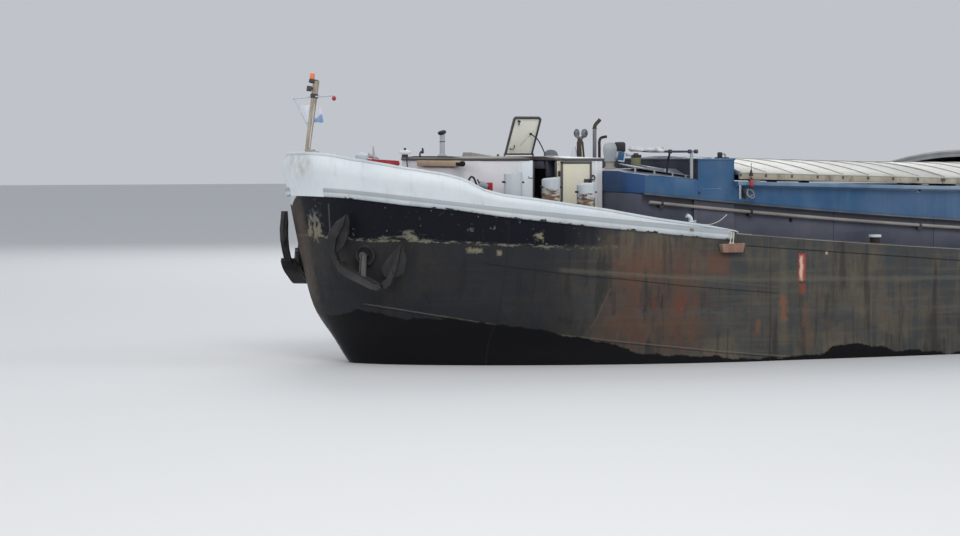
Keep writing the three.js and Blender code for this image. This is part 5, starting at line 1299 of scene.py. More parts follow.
def makeHouseGear():
    bm = bmesh.new()
    y = house["half"]
    # tan shutter above the front, with a dark brown strip under it as painted shadow, and its dark end
    tilt = turnAbout((24.84, 0, 4.5), (0, 1, 0), 12)
    addBox(bm, (24.84, -0.3, 4.39), (24.87, 1.5, 4.5), 0.006, turn=tilt)
    addBox(bm, (24.8, -0.1, 4.375), (24.86, 1.35, 4.392), 0.004, mat=1, turn=tilt)
    addRod(bm, (24.82, 1.34, 4.44), (24.82, 1.56, 4.44), 0.052, sides=14, mat=2, bevel=0.01)
    # low tan-grey hatch box on the roof, mushroom vent, pale dome and small fittings
    addLoft(bm, [[(24.36, 0.62, 4.555), (23.86, 0.62, 4.555), (23.86, 1.0, 4.555), (24.36, 1.0, 4.555)],
                 [(24.34, 0.64, 4.655), (23.86, 0.62, 4.58), (23.86, 1.0, 4.58), (24.34, 0.98, 4.655)]], 3)
    addRod(bm, (23.72, 0.9, 4.55), (23.72, 0.9, 4.62), 0.03, 0.02, mat=4)
    addTurned(bm, [(0, 0), (0.07, 0), (0.06, 0.07), (0, 0.07)], (24.6, -1.32, 4.545), mat=4)
    addTurned(bm, [(0.05, 0.085), (0.118, 0.08), (0.124, 0.105), (0.09, 0.14), (0.04, 0.155), (0, 0.157)],
              (24.6, -1.32, 4.545), mat=5)
    addRod(bm, (24.6, -1.32, 4.69), (24.6, -1.32, 4.74), 0.026, sides=12, mat=4, bevel=0.006)
    addTurned(bm, [(0, 0), (0.135, 0), (0.14, 0.02), (0.125, 0.075), (0.09, 0.115), (0.04, 0.135), (0, 0.14)],
              (22.45, 0.7, 4.575), mat=8)
    addRing(bm, (22.45, 0.7, 4.585), (0, 0, 1), 0.135, 0.01, mat=6, steps=36)
    addPipe(bm, [(24.52, -0.82, 4.54), (24.52, -0.82, 4.64), (24.47, -0.8, 4.69), (24.5, -0.76, 4.73)], 0.018, mat=4)
    addBall(bm, (24.45, -0.86, 4.66), 0.032, mat=4)
    # cable down the front of the house
    addPipe(bm, [(24.86, -0.72, 4.58), (24.85, -0.74, 4.5), (24.83, -0.76, 4.4), (24.815, -0.76, 4.2),
                 (24.81, -0.75, 3.9)], 0.011, mat=4)
    # hose loop, ribbed cylinder and red box by the port wall
    addPipe(bm, [(24.97, 1.9, 3.6), (24.94, 1.94, 4.0), (24.9, 1.96, 4.16), (24.85, 1.97, 4.2), (24.79, 1.97, 4.14),
                 (24.74, 1.98, 3.95), (24.72, 1.98, 3.6)], 0.018, mat=4)
    addPipe(bm, [(25.03, 1.9, 4.06), (24.96, 1.92, 4.12), (24.9, 1.9, 4.14)], 0.012, mat=6)
    addRod(bm, (24.66, 1.9, 4.06), (24.5, 1.92, 4.01), 0.06, sides=18, mat=6, bevel=0.01)
    for i in range(5):
        at = Vector((24.66, 1.9, 4.06)).lerp(Vector((24.5, 1.92, 4.01)), 0.1 + i * 0.2)
        addRing(bm, at, (-0.16, 0.02, -0.05), 0.062, 0.006, mat=6, steps=18, sides=6)
    addBox(bm, (24.42, 1.86, 3.93), (24.51, 2.0, 4.09), 0.012, mat=7)
    addRod(bm, (24.66, 1.9, 4.08), (24.7, 1.9, 4.15), 0.014, sides=8, mat=4)
    addBox(bm, (24.44, 1.86, 3.46), (24.64, 1.92, 3.96), 0.006, mat=4)
    finishPiece(bm, "houseGear", ["boardTan", "rustBrown", "cabinDark", "pipeTan", "darkIron", "houseWhite",
                                  "vesselGrey", "red", "cowlGrey"])

    bm = bmesh.new()
    x, y, base = 24.56, 0.2, 4.582
    addTurned(bm, [(0, 0), (0.09, 0), (0.09, 0.02), (0.06, 0.035), (0.05, 0.06), (0.05, 0.42), (0, 0.42)], (x, y, base))
    lean = turnAbout((x, y, base + 0.43), (0, 1, 0), 16)
    addTurned(bm, [(0, -0.01), (0.06, -0.01), (0.082, 0.015), (0.085, 0.035), (0.06, 0.06), (0, 0.068)],
              (x, y, base + 0.43), mat=1, turn=lean)
    addRing(bm, (x, y, base + 0.28), (0, 0, 1), 0.052, 0.006, mat=1)
    finishPiece(bm, "chimneyPipe", ["vesselGrey", "rubber"], replaced=["chimney"])


def makeHouseDoor():
    bm = bmesh.new()
    back, front = 1.757, 1.8
    lowX, highX, lowZ, highZ = 22.155, 22.855, 3.46, 4.488
    for low, high, bevel, mat in (
            ((lowX, back, lowZ), (highX, front - 0.012, highZ), 0.008, 0),
            # raised cream panel, and dark gaskets left, top and right
            ((lowX + 0.075, front - 0.014, lowZ), (highX - 0.06, front - 0.002, highZ - 0.055), 0.004, 0),
            ((highX - 0.058, front - 0.02, lowZ), (highX - 0.006, front, highZ - 0.004), 0.006, 1),
            ((lowX + 0.004, front - 0.02, highZ - 0.052), (highX - 0.004, front, highZ - 0.002), 0.006, 1),
            ((lowX + 0.006, front - 0.02, 3.99), (lowX + 0.05, front, highZ - 0.03), 0.006, 1),
            ((lowX + 0.004, front - 0.014, lowZ), (lowX + 0.07, front - 0.004, 3.99), 0.004, 2),
            # latch
            ((lowX + 0.02, front - 0.015, 4.075), (lowX + 0.19, front, 4.15), 0.008, 3)):
        addBox(bm, low, high, bevel, mat)
    for z in (3.7, 4.25):
        addRod(bm, (22.87, 1.7775, z - 0.05), (22.87, 1.7775, z + 0.05), 0.022, sides=16, mat=4, bevel=0.004)
        addBox(bm, (22.8, back, z - 0.04), (22.87, back + 0.012, z + 0.04), 0.003, mat=4)
    finishPiece(bm, "foreHouseDoor", ["doorCream", "trimBrown", "paleGrey", "darkIron", "rustBrown"],
                "fore_house_door", ["fore_house_door"])


def makeHouseLid():
    bm = bmesh.new()
    lid = {"hingeY": 0.85, "hingeZ": 4.62, "aft": 22.94, "fore": 23.54, "width": 0.8, "thick": 0.045, "open": 62}
    turn = Matrix.Translation((0, lid["hingeY"], lid["hingeZ"])) @ Matrix.Rotation(math.radians(lid["open"]), 4, "X")
    low, high = -0.01, -0.01 + lid["thick"]
    # tray with rounded corners: outer rim dark, inside cream
    part = bmesh.new()
    size = Matrix.Diagonal((lid["fore"] - lid["aft"], lid["width"] + 0.012, high - low, 1))
    centre = ((lid["fore"] + lid["aft"]) / 2, (lid["width"] - 0.012) / 2, (low + high) / 2)
    bmesh.ops.create_cube(part, size=1.0, matrix=Matrix.Translation(centre) @ size)
    upright = [e for e in part.edges if abs(e.verts[0].co.z - e.verts[1].co.z) > 0.01]
    free = [e for e in upright if e.verts[0].co.y > 0.4]
    ease(part, free, 0.06, 6)
    under = min(part.faces, key=lambda f: f.calc_center_median().z)
    bmesh.ops.inset_region(part, faces=[under], thickness=0.034, depth=0)
    pushed = bmesh.ops.extrude_discrete_faces(part, faces=[under])["faces"]
    bmesh.ops.translate(part, vec=(0, 0, lid["thick"] * 0.5), verts=pushed[0].verts)
    for face in part.faces:
        face.material_index = 1
    for face in part.faces:
        if face is pushed[0] or face.calc_center_median().z > high - 0.001:
            face.material_index = 0
    bmesh.ops.remove_doubles(part, verts=part.verts, dist=0.0001)
    merge(bm, part, None, turn)
    # catch, handle, and a faint grey rod on the inside as a painted shadow line
    local = bmesh.new()
    addBox(local, (23.4, 0.70, -0.035), (23.44, 0.73, 0.02), 0.004, mat=2)
    addRod(local, (23.42, 0.69, -0.03), (23.42, 0.64, -0.03), 0.012, sides=8, mat=2)
    addPipe(local, [(23.46, 0.12, 0.01), (23.44, 0.12, -0.04), (23.4, 0.16, -0.04), (23.38, 0.19, 0.01)], 0.009, mat=2,
            steps=3)
    addRod(local, (23.25, 0.18, 0.012), (23.03, 0.5, 0.012), 0.004, sides=6, mat=3)
    merge(bm, local, None, turn)
    stayX = lid["aft"] + 0.028
    stay = [(stayX + 0.13, 0.215, 0.39), (stayX + 0.07, 0.37, 0.29), (stayX + 0.02, 0.5, 0.1), (stayX, 0.56, -0.03)]
    addPipe(bm, [(x, y + lid["hingeY"], z + lid["hingeZ"]) for x, y, z in stay], 0.012, mat=2, steps=6)
    addBall(bm, (stayX + 0.13, 0.215 + lid["hingeY"], 0.39 + lid["hingeZ"]), 0.024, mat=2, sides=12)
    finishPiece(bm, "foreHouseLid", ["lidPale", "trimBrown", "darkIron", "vesselGrey"], "fore_house_lid",
                ["fore_house_lid"])


makeForeHouse()
makeHouseGear()
makeHouseDoor()
makeHouseLid()
print("fore house done")


# ---- foredeck
def makeBollards():
    bm = bmesh.new()
    posts = [(24.23, 2.44, 0.172, 0.8), (23.5, 2.58, 0.172, 0.77), (22.83, 2.73, 0.172, 0.73)]
    for side in (1, -1):
        foot = [(posts[2][0] - 0.3, 2.545), (posts[0][0] + 0.26, 2.255), (posts[0][0] + 0.26, 2.605),
                (posts[2][0] - 0.3, 2.9)]
        rings = [[(x, side * y, deckZ(x) + up) for x, y in foot] for up in (0.002, 0.035)]
        addLoft(bm, rings, 1)
        for x, y, r, h in posts:
            z = deckZ(x)
            top = z + h - 0.02
            part = bmesh.new()
            bmesh.ops.create_cone(part, cap_ends=True, segments=36, radius1=r, radius2=r, depth=h + 0.04,
                                  matrix=Matrix.Translation((x, side * y, z + (h + 0.04) / 2)))
            # the head slopes aft to fore
            cut = bisect(part, (x, side * y, top), (math.sin(0.1), 0, math.cos(0.1)), clear_outer=True)
            bmesh.ops.holes_fill(part, edges=[g for g in cut["geom_cut"] if isinstance(g, bmesh.types.BMEdge)], sides=0)
            rims = [e for e in part.edges if e.calc_face_angle(0) > 1.0 and max(v.co.z for v in e.verts) > z + 0.3]
            ease(part, rims, 0.02, 3)
            merge(bm, part, 0)
            pin = z + h * 0.75
            addRod(bm, (x - r - 0.06, side * y, pin), (x + r + 0.06, side * y, pin + 0.008), 0.018, sides=12, mat=2,
                   bevel=0.005)
            addRing(bm, (x, side * y, z + 0.05), (0, 0, 1), r + 0.004, 0.014, mat=1, steps=32)
    finishPiece(bm, "foreBollards", ["postPaint", "deckGrey", "rustIron"],
                replaced=["bollards_fore_port", "bollards_fore_starboard"])
    plainPiece("aftBollards", ["houseWhite"], "white_paint", ["bollards_aft_port", "bollards_aft_starboard"],
               bevel=0.012, angle=50)


def makeWindlass():
    bm = bmesh.new()
    copyNode(bm, "windlass_frame", bevel=0.008, angle=35)
    top = deckZ(25.88) + 0.54
    for side in (1, -1):
        # side flap of the cover
        rings = [[(x, side * y, top + z) for x, z in ((25.64, 0.212), (25.66, 0.285), (26.24, 0.312), (26.285, 0.25),
                (26.285, 0.212))] for y in (0.525, 0.54)]
        addLoft(bm, rings, 0)
    finishPiece(bm, "windlassFrame", ["red"], replaced=["windlass_frame"])
    plainPiece("windlassDrum", ["rustIron"], "dark_iron", ["windlass_drum"], bevel=0.008, angle=35)
    bm = bmesh.new()
    # pale vent and thin horn forward of the house
    deck = deckZ(26.33)
    addTurned(bm, [(0, deck), (0.12, deck), (0.1, deck + 0.04), (0.085, deck + 0.7), (0.11, 4.48), (0.125, 4.54),
                   (0.12, 4.6), (0.07, 4.64), (0, 4.65)], (26.33, 0.3, 0))
    deck = deckZ(25.6)
    addRod(bm, (25.85, -0.15, deck), (25.85, -0.15, 4.55), 0.035, mat=1)
    addRod(bm, (25.85, -0.15, 4.55), (25.87, -0.15, 4.78), 0.03, 0.008, mat=1)
    addRod(bm, (25.75, -0.15, 4.54), (25.97, -0.15, 4.6), 0.014, 0.05, mat=1)
    finishPiece(bm, "foredeckVents", ["paleGrey", "vesselGrey"])


def pickShank(c, n):
    # the head of the shank is brown
    return 1 if abs(c.x - 26.86) < 0.13 and 2.42 < c.z < 3 else 0


mast = {"x": 27.33, "foot": 27.23, "pivot": 4.62, "length": 1.4, "rake": 8}


def mastAt(height, y=0.0, ahead=0.0):
    lean = math.radians(mast["rake"])
    return Vector((mast["x"] - height * math.sin(lean) + ahead, y, mast["pivot"] + height * math.cos(lean)))


def makeMast():
    plainPiece("bowMastFoot", ["vesselGrey"], "mast_tan", ["bow_mast_foot"], bevel=0.005, angle=40)
    bm = bmesh.new()
    # tapered pole, wider at its top, in its shoe
    rings = []
    for i in range(13):
        h = -0.02 + (mast["length"] + 0.02) * i / 12
        r = 0.05 + 0.012 * i / 12
        c = mastAt(h)
        rings.append([c + Vector((r * math.cos(a), r * math.sin(a), 0))
                      for a in [2 * math.pi * k / 16 for k in range(16)]])
    addLoft(bm, rings, 0)
    addBox(bm, (27.185, -0.07, 4.56), (27.33, 0.07, 4.71), 0.008)
    addRod(bm, mastAt(1.08, -0.95), mastAt(1.11, 0.9), 0.017, sides=12, mat=1)
    for s in (-0.95, 0.9):
        addBall(bm, mastAt(1.08 if s < 0 else 1.11, s), 0.024, mat=1, sides=10)
    addBall(bm, mastAt(1.05, 0.88), 0.042, mat=2, sides=12)
    # black clamp, black lamp forward, orange lamp ahead of the pole's head with its finial
    for (h0, ahead0), (h1, ahead1), r, sides, bevel, mat in (((1.07, 0), (1.15, 0), 0.078, 20, 0.012, 3),
            ((1.2, 0.125), (1.3, 0.125), 0.05, 16, 0.008, 3), ((1.25, 0), (1.25, 0.13), 0.018, 10, 0, 3),
            ((1.38, 0), (1.38, 0.11), 0.03, 12, 0.006, 3), ((1.36, 0.09), (1.43, 0.09), 0.058, 20, 0.008, 3),
            ((1.43, 0.09), (1.545, 0.1), 0.046, 20, 0.01, 4)):
        addRod(bm, mastAt(h0, 0, ahead0), mastAt(h1, 0, ahead1), r, sides=sides, mat=mat, bevel=bevel)
    addRod(bm, mastAt(1.4), mastAt(1.42), 0.055, 0.03, sides=16, mat=3)
    # halyard and its thin line to the flag
    addPipe(bm, [mastAt(1.08, -0.935), (27.18, -0.935, 5.69), (26.88, -0.935, 5.15)], 0.006, mat=1, sides=6, steps=1)
    # rope down the mast
    addPipe(bm, [mastAt(1.04, 0.05), mastAt(0.7, 0.058), mastAt(0.35, 0.056), mastAt(0.12, 0.066)], 0.007, mat=1,
            sides=6)
    finishPiece(bm, "bowMast", ["mastTan", "paleGrey", "red", "darkIron", "orange"], "bow_mast",
                ["bow_mast"])


flagSizes = {"head": (27.172, 5.69), "foot": (26.872, 5.15), "y": -0.935, "fly": 0.5, "drop": 0.4}


def makeFlag():
    f = flagSizes
    hoist = Vector((f["foot"][0] - f["head"][0], f["foot"][1] - f["head"][1])).normalized()
    start = Vector(f["head"]) + hoist * 0.13

    def placeAt(u, w):
        # w runs down the slanting hoist and u to the fly; the cloth streams aft in shallow folds
        x, z = start + hoist * f["drop"] * 1.08 * w
        wave = 0.045 * math.sin(u * 11.0 + w * 1.4) * min(1.0, u * 2.5)
        reach = u * (0.53 - 0.17 * w)
        sag = u * (0.09 * w - 0.05) - 0.012 * math.sin(u * 9)
        return Vector((x - reach, f["y"] + wave, z + sag))

    part = formSheet(40, 20, placeAt)
    bm = bmesh.new()
    merge(bm, part, 0)
    flag = finishPiece(bm, "blownFlag", ["flagCloth"], "bow_mast", ["flag"])
    area = sum(p.area for p in flag.data.polygons)
    print("flag area", round(area, 5), "flat", round(f["fly"] * f["drop"] * shipScale ** 2, 5))


makeBollards()
makeWindlass()
for side in ("port", "starboard"):
    plainPiece("anchor" + side.capitalize(), ["rustIron", "trimBrown"], "dark_iron", ["anchor_" + side], pickShank,
               sharp=40, bevel=0.016, angle=25, segments=3)
makeMast()
makeFlag()
print("foredeck done")


# ---- gear over the trunk
def makeExhausts():
    bm = bmesh.new()
    z = 4.34
    addBox(bm, (21.07, 0.23, z + 0.001), (21.29, 0.37, z + 0.04), 0.006)
    addPipe(bm, [(21.24, 0.3, z + 0.02), (21.24, 0.3, z + 0.45), (21.24, 0.3, z + 0.79)], 0.038, mat=1, sides=18,
            steps=2)
    addPipe(bm, [(21.24, 0.3, z + 0.78), (21.235, 0.3, z + 0.83), (21.2, 0.3, z + 0.88), (21.15, 0.3, z + 0.925),
                 (21.12, 0.3, z + 0.96)], 0.036, mat=2, sides=18, steps=4)
    addRing(bm, (21.24, 0.3, z + 0.79), (0, 0, 1), 0.04, 0.01, mat=2)
    addPipe(bm, [(21.13, 0.3, z + 0.02), (21.13, 0.3, z + 0.4), (21.13, 0.3, z + 0.53), (21.09, 0.3, z + 0.6),
                 (20.97, 0.3, z + 0.625)], 0.028, mat=2, sides=16, steps=4)
    addRing(bm, (21.24, 0.3, z + 0.05), (0, 0, 1), 0.046, 0.012, mat=3)
    finishPiece(bm, "exhaustPipes", ["darkIron", "cowlGrey", "rustBrown", "rustIron"],
                replaced=["exhausts"])


def makeSignalPost():
    bm = bmesh.new()
    x, y, z = 21.49, 0.15, 4.34
    addTurned(bm, [(0, 0), (0.195, 0), (0.19, 0.02), (0.15, 0.035), (0, 0.04)], (x, y, z))
    # pale cone behind a dark tapered post, with a pale rod down it as a painted highlight
    addRod(bm, (x + 0.085, y - 0.02, z + 0.02), (x + 0.12, y - 0.02, z + 0.43), 0.105, 0.03, sides=28)
    addRod(bm, (x + 0.01, y + 0.08, z + 0.02), (x + 0.01, y + 0.03, z + 0.52), 0.088, 0.066, sides=24, mat=1,
           bevel=0.006)
    addRod(bm, (x + 0.02, y + 0.155, z + 0.03), (x + 0.015, y + 0.085, z + 0.46), 0.02, sides=12, mat=4)
    addRod(bm, (x + 0.01, y + 0.03, z + 0.5), (x, y, z + 0.6), 0.066, 0.035, sides=20, mat=1)
    for s, wide in ((-1, 0.055), (1, 0.068)):
        # rounded cowl on its neck; the aft one shows its open mouth, and a dark ball in each mouth is painted shade
        head = Vector((x - 0.02 - s * 0.02, y + s * 0.118, z + 0.69))
        addRod(bm, (x, y, z + 0.56), head - Vector((0, 0, 0.03)), 0.034, sides=14, mat=2)
        addBall(bm, head, 1.0, mat=2, squash=(wide, 0.062, 0.09), sides=24)
        aim = Vector((-0.25, 1, 0.05)) if s > 0 else Vector((1, -0.3, 0.05))
        addBall(bm, head + aim.normalized() * 0.024, 1.0, mat=3, squash=(wide * 0.68, 0.046, 0.062), sides=20)
    finishPiece(bm, "twinCowls", ["paleGrey", "rustBrown", "cowlGrey", "wellDark", "footTan"],
                replaced=["signal_post"])


def makeWellGear():
    bm = bmesh.new()
    # turned dome on a tan foot, its mouth low and turned aft
    x, y, z = 21.24, 0.9, 4.341
    profile = [(0.112, 0.18), (0.125, 0.28), (0.136, 0.36), (0.128, 0.43), (0.1, 0.482), (0.05, 0.51), (0, 0.517)]
    addTurned(bm, [(0, 0.12), (0.1, 0.12), (0.108, 0.14)] + profile, (x, y, z), steps=36)
    addTurned(bm, [(0, 0), (0.118, 0), (0.118, 0.02), (0.088, 0.032), (0.088, 0.13), (0, 0.13)], (x, y, z), mat=1)
    aim = Vector((-0.21, 0.04, -0.015)).normalized()
    centre = Vector((x, y, z + 0.25))
    addRod(bm, centre, centre + aim * 0.17, 0.08, 0.088, sides=28)
    addRing(bm, centre + aim * 0.18, aim, 0.084, 0.012, mat=3, steps=32)
    addRod(bm, centre + aim * 0.17, centre + aim * 0.176, 0.078, sides=28, mat=2)
    addRing(bm, (x, y, z + 0.15), (0, 0, 1), 0.112, 0.007, steps=32)
    finishPiece(bm, "cowlVent", ["vesselGrey", "footTan", "blue", "paleGrey"], replaced=["cowl_vent"],
                sharp=50)
    bm = bmesh.new()
    # dark rounded hood behind, olive drum with its cap
    addBox(bm, (20.63, 0.3, 4.64), (20.82, 0.5, 4.86), 0.05, segments=4)
    addRod(bm, (20.72, 0.4, 4.33), (20.72, 0.4, 4.66), 0.05)
    addRod(bm, (20.83, 1.2, 4.335), (20.83, 1.2, 4.56), 0.095, sides=24, mat=1, bevel=0.012)
    addRod(bm, (20.83, 1.2, 4.555), (20.83, 1.2, 4.61), 0.108, sides=24, bevel=0.012)
    addRod(bm, (20.83, 1.2, 4.61), (20.83, 1.2, 4.64), 0.05, sides=16, bevel=0.008)
    # blue board with its white edge, leaning, and a wedge behind it
    lean = turnAbout((21.25, 1.3, 4.38), (0, 1, 0), -10)
    for low, high, mat in (((21.19, 1.28, 4.5), (21.32, 1.31, 4.67), 2), ((21.24, 1.275, 4.5), (21.32, 1.3, 4.67), 5),
                           ((21.175, 1.275, 4.48), (21.2, 1.318, 4.68), 6),
                           ((21.2, 1.275, 4.475), (21.3, 1.318, 4.5), 6)):
        addBox(bm, low, high, mat=mat, turn=lean)
    addLoft(bm, [[(21.12, 1.3, 4.64), (21.12, 1.3, 4.57), (21.12, 1.33, 4.57), (21.12, 1.33, 4.64)],
                 [(20.99, 1.3, 4.59), (20.99, 1.3, 4.575), (20.99, 1.33, 4.575), (20.99, 1.33, 4.59)]], 3)
    # pipe rail with clamps and its upright
    addPipe(bm, [(21.6, 2.44, 4.695), (21.3, 2.48, 4.675), (20.8, 2.6, 4.67), (20.33, 2.66, 4.672)], 0.022, mat=4,
            sides=12, steps=3)
    addPipe(bm, [(20.46, 2.66, 4.1), (20.46, 2.66, 4.4), (20.46, 2.66, 4.69)], 0.032, mat=3, sides=14, steps=1)
    for x in (20.9, 20.5, 20.36):
        y = 2.66 - max(0, x - 20.5) * 0.17
        addRod(bm, (x - 0.03, y, 4.672), (x + 0.03, y, 4.672), 0.04, sides=14, mat=4, bevel=0.006)
    addPipe(bm, [(20.9, 2.58, 4.66), (20.89, 2.54, 4.58), (20.86, 2.45, 4.5), (20.86, 2.4, 4.22)], 0.02, steps=3)
    finishPiece(bm, "wellGear", ["darkIron", "olive", "blue", "vesselGrey", "wellDark", "cowlGrey", "paleGrey"])
    bm = bmesh.new()
    # cloth rolled over the rail: a long soft roll with folds
    rings = []
    for i in range(41):
        t = i / 40
        x = 21.74 - 0.78 * t
        swell = 0.05 + 0.01 * math.sin(t * 9) + 0.005 * math.sin(t * 23 + 1)
        end = min(1.0, min(t, 1 - t) * 8 + 0.2)
        ring = []
        for k in range(20):
            a = 2 * math.pi * k / 20
            r = (swell + 0.004 * math.sin(a * 3 + t * 12) + 0.003 * math.sin(a * 5 - t * 19)) * end
            ring.append((x, 2.42 + 0.12 * t + r * math.cos(a) * 1.3, 4.72 - 0.02 * t + r * math.sin(a) * 0.85))
        rings.append(ring)
    addLoft(bm, rings, 0)
    finishPiece(bm, "rolledCloth", ["tarpCloth"], sharp=60)


def makeLanternGroup():
    bm = bmesh.new()
    x, y = 19.28, 2.93
    # stick with a black cone above a red lantern, lashed to the rail
    addRod(bm, (x, y, 3.82), (x, y, 4.45), 0.006, sides=8)
    addRod(bm, (x, y, 4.2), (x, y, 4.35), 0.042, 0.005, sides=18, mat=1)
    addRod(bm, (x - 0.01, y, 4.0), (x - 0.01, y, 4.13), 0.04, sides=16, mat=2, bevel=0.012)
    addRod(bm, (x - 0.01, y, 4.13), (x - 0.01, y, 4.17), 0.028, 0.01, sides=12, mat=1)
    addRod(bm, (x - 0.01, y, 3.97), (x - 0.01, y, 4.0), 0.045, sides=16, mat=1)
    addBox(bm, (x + 0.06, y - 0.16, 3.78), (x + 0.12, y - 0.14, 4.1), 0.006, mat=1)
    # chain, strap and rope loops
    for i in range(8):
        addRing(bm, (19.53, 2.93, 4.0 - i * 0.032), (1, 0.2, 0) if i % 2 else (0, 1, 0.1), 0.018, 0.006, mat=3,
                steps=12, sides=5)
    addPipe(bm, [(19.36, 2.92, 3.94), (19.38, 2.96, 3.86), (19.32, 2.98, 3.78), (19.24, 2.97, 3.8), (19.25, 2.95, 3.9),
                 (19.32, 2.94, 3.94)], 0.014, mat=4, steps=5)
    addPipe(bm, [(19.34, 2.93, 3.95), (19.4, 2.97, 3.87), (19.36, 2.99, 3.8), (19.28, 2.98, 3.84)], 0.012, mat=4,
            steps=5)
    addPipe(bm, [(19.46, 2.9, 3.97), (19.43, 2.93, 3.88), (19.41, 2.93, 3.76)], 0.02, mat=1, steps=4)
    finishPiece(bm, "lanternGroup", ["cowlGrey", "rubber", "red", "paleGrey", "roofFelt"])
    bm = bmesh.new()
    # white drain elbow by the bulwark, and the small lamp on the coaming
    base = deckZ(20.67)
    addPipe(bm, [(20.64, 2.95, base), (20.645, 2.95, base + 0.16), (20.67, 2.95, base + 0.25),
                 (20.74, 2.95, base + 0.29)], 0.042, mat=0, sides=16, steps=4)
    addRing(bm, (20.645, 2.95, base + 0.17), (0, 0, 1), 0.044, 0.008)
    addBox(bm, (20.54, 2.93, base), (20.62, 2.97, base + 0.2), 0.008, mat=1)
    addBox(bm, (15.2, 2.745, 3.86), (15.28, 2.8, 3.95), 0.01, mat=1)
    addBall(bm, (15.24, 2.81, 3.905), 0.035, mat=2, sides=12)
    # a near-black disc as painted shade for a hole in the coaming
    z = ledgeZ(18.22) - 0.25
    addRod(bm, (18.22, 2.69, z), (18.22, 2.708, z), 0.04, sides=18, mat=2)
    finishPiece(bm, "drainAndLamp", ["bulwarkWhite", "vesselGrey", "cabinDark"])


def makeFenders():
    bm = bmesh.new()
    for s in (1, -1):
        y0, y1 = s * 3.3, s * 3.43
        rings = [[(19.77, y, 2.75), (20.21, y, 2.75), (20.25, y, 2.915), (19.72, y, 2.93)] for y in (y0, y1)]
        part = bmesh.new()
        addLoft(part, rings, 0)
        ease(part, part.edges[:], 0.014, 3)
        merge(bm, part, 0)
        # ropes from the end of the bulwark, and a slack one along the coaming
        for x in (19.98, 20.04):
            addPipe(bm, [(x - 0.04, s * 3.33, 3.16), (x - 0.02, s * 3.385, 3.1), (x, s * 3.4, 3.0),
                         (x + 0.01, s * 3.4, 2.91)], 0.012, mat=1, sides=8, steps=4)
            addBall(bm, (x + 0.01, s * 3.4, 2.925), 0.026, mat=1, sides=10)
        addPipe(bm, [(20.06, s * 3.34, 3.15), (19.98, s * 3.37, 3.17), (19.88, s * 3.36, 3.15),
                     (19.84, s * 3.34, 3.13)], 0.013, mat=1, sides=8, steps=4)
        addPipe(bm, [(20.55, s * 3.1, 3.29), (20.32, s * 3.08, 3.28), (20.1, s * 3.0, 3.32), (19.92, s * 2.9, 3.38),
                     (19.76, s * 2.82, 3.46)], 0.008, mat=1, sides=6, steps=5)
        addSideBox(bm, s, (20.02, 3.33, 3.02), (20.1, 3.345, 3.1), 0.004, mat=2)
        addSideBox(bm, s, (19.97, 3.302, 3.0), (20.11, 3.335, 3.1), mat=2)
    finishPiece(bm, "fenders", ["fenderWood", "rope", "cabinDark"],
                replaced=["fender_port", "fender_starboard"])


makeExhausts()
makeSignalPost()
makeWellGear()
makeLanternGroup()
makeFenders()
print("well gear done")


# ---- aft house, wheelhouse and drive
def makeAftHouse():
    bm = bmesh.new()
    copyNode(bm, "aft_house_walls", bevel=0.008, angle=40)
    for s in (1, -1):
        for x in (-20.7, -21.9, -23.1, -24.3):
            # frame and glass of a window
            a, b = 2.3 - 0.02, 2.3 + 0.018
            for low, high in (((x - 0.3, a, 3.04), (x + 0.3, b, 3.08)), ((x - 0.3, a, 3.48), (x + 0.3, b, 3.52)),
                              ((x - 0.3, a, 3.04), (x - 0.26, b, 3.52)), ((x + 0.26, a, 3.04), (x + 0.3, b, 3.52))):
                addSideBox(bm, s, low, high, 0.005, mat=1)
            addSideBox(bm, s, (x - 0.26, 2.3 - 0.03, 3.08), (x + 0.26, 2.3 - 0.022, 3.48), 0, mat=2)
        addPipe(bm, [(-20.2, s * 2.36, 3.62), (-22.5, s * 2.36, 3.62), (-24.9, s * 2.36, 3.62)], 0.018, mat=3, steps=1)
        for x in (-20.3, -21.3, -22.5, -23.7, -24.8):
            addRod(bm, (x, s * 2.29, 3.62), (x, s * 2.36, 3.62), 0.01, sides=8, mat=3)
    finishPiece(bm, "aftHouseWalls", ["houseWhite", "varnish", "glass", "vesselGrey"],
                replaced=["aft_house_walls"])
    bm = bmesh.new()
    copyNode(bm, "aft_house_roof", lambda c, n: 1 if abs(n.z) < 0.5 else 0, bevel=0.012, angle=40)
    # roof rail, a plain ring buoy and a locker
    for s in (1, -1):
        addPipe(bm, [(-23.2, s * 2.28, 4.2), (-24.4, s * 2.28, 4.2), (-25.1, s * 2.28, 4.2)], 0.018, mat=2, steps=1)
        for x in (-23.2, -24.15, -25.1):
            addRod(bm, (x, s * 2.28, 3.8), (x, s * 2.28, 4.2), 0.015, sides=10, mat=2)
    addPipe(bm, [(-25.1, 2.28, 4.2), (-25.1, 0, 4.2), (-25.1, -2.28, 4.2)], 0.018, mat=2, steps=1)
    addRing(bm, (-24.6, 2.22, 4.03), (0, 1, 0), 0.27, 0.055, mat=3, steps=32, sides=12)
    addBox(bm, (-24.9, -1.6, 3.82), (-24.2, -0.9, 4.12), 0.02, mat=1)
    finishPiece(bm, "aftHouseRoof", ["deckGrey", "paleGrey", "vesselGrey", "orange"],
                replaced=["aft_house_roof"])
    bm = bmesh.new()
    copyNode(bm, "aft_house_door", bevel=0.006)
    low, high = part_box("aft_house_door")
    low, high = low / shipScale, high / shipScale
    for z0, z1 in ((low.z + 0.06, low.z + 0.36), (low.z + 0.42, high.z - 0.06)):
        addBox(bm, (low.x - 0.003, low.y + 0.08, z0), (low.x + 0.01, high.y - 0.08, z1), 0.004)
    addRod(bm, (low.x - 0.03, low.y + 0.07, low.z + 0.4), (low.x + 0.01, low.y + 0.07, low.z + 0.4), 0.02, sides=12,
           mat=1)
    finishPiece(bm, "aftHouseDoor", ["varnish", "bronze"], "aft_house_door", ["aft_house_door"])


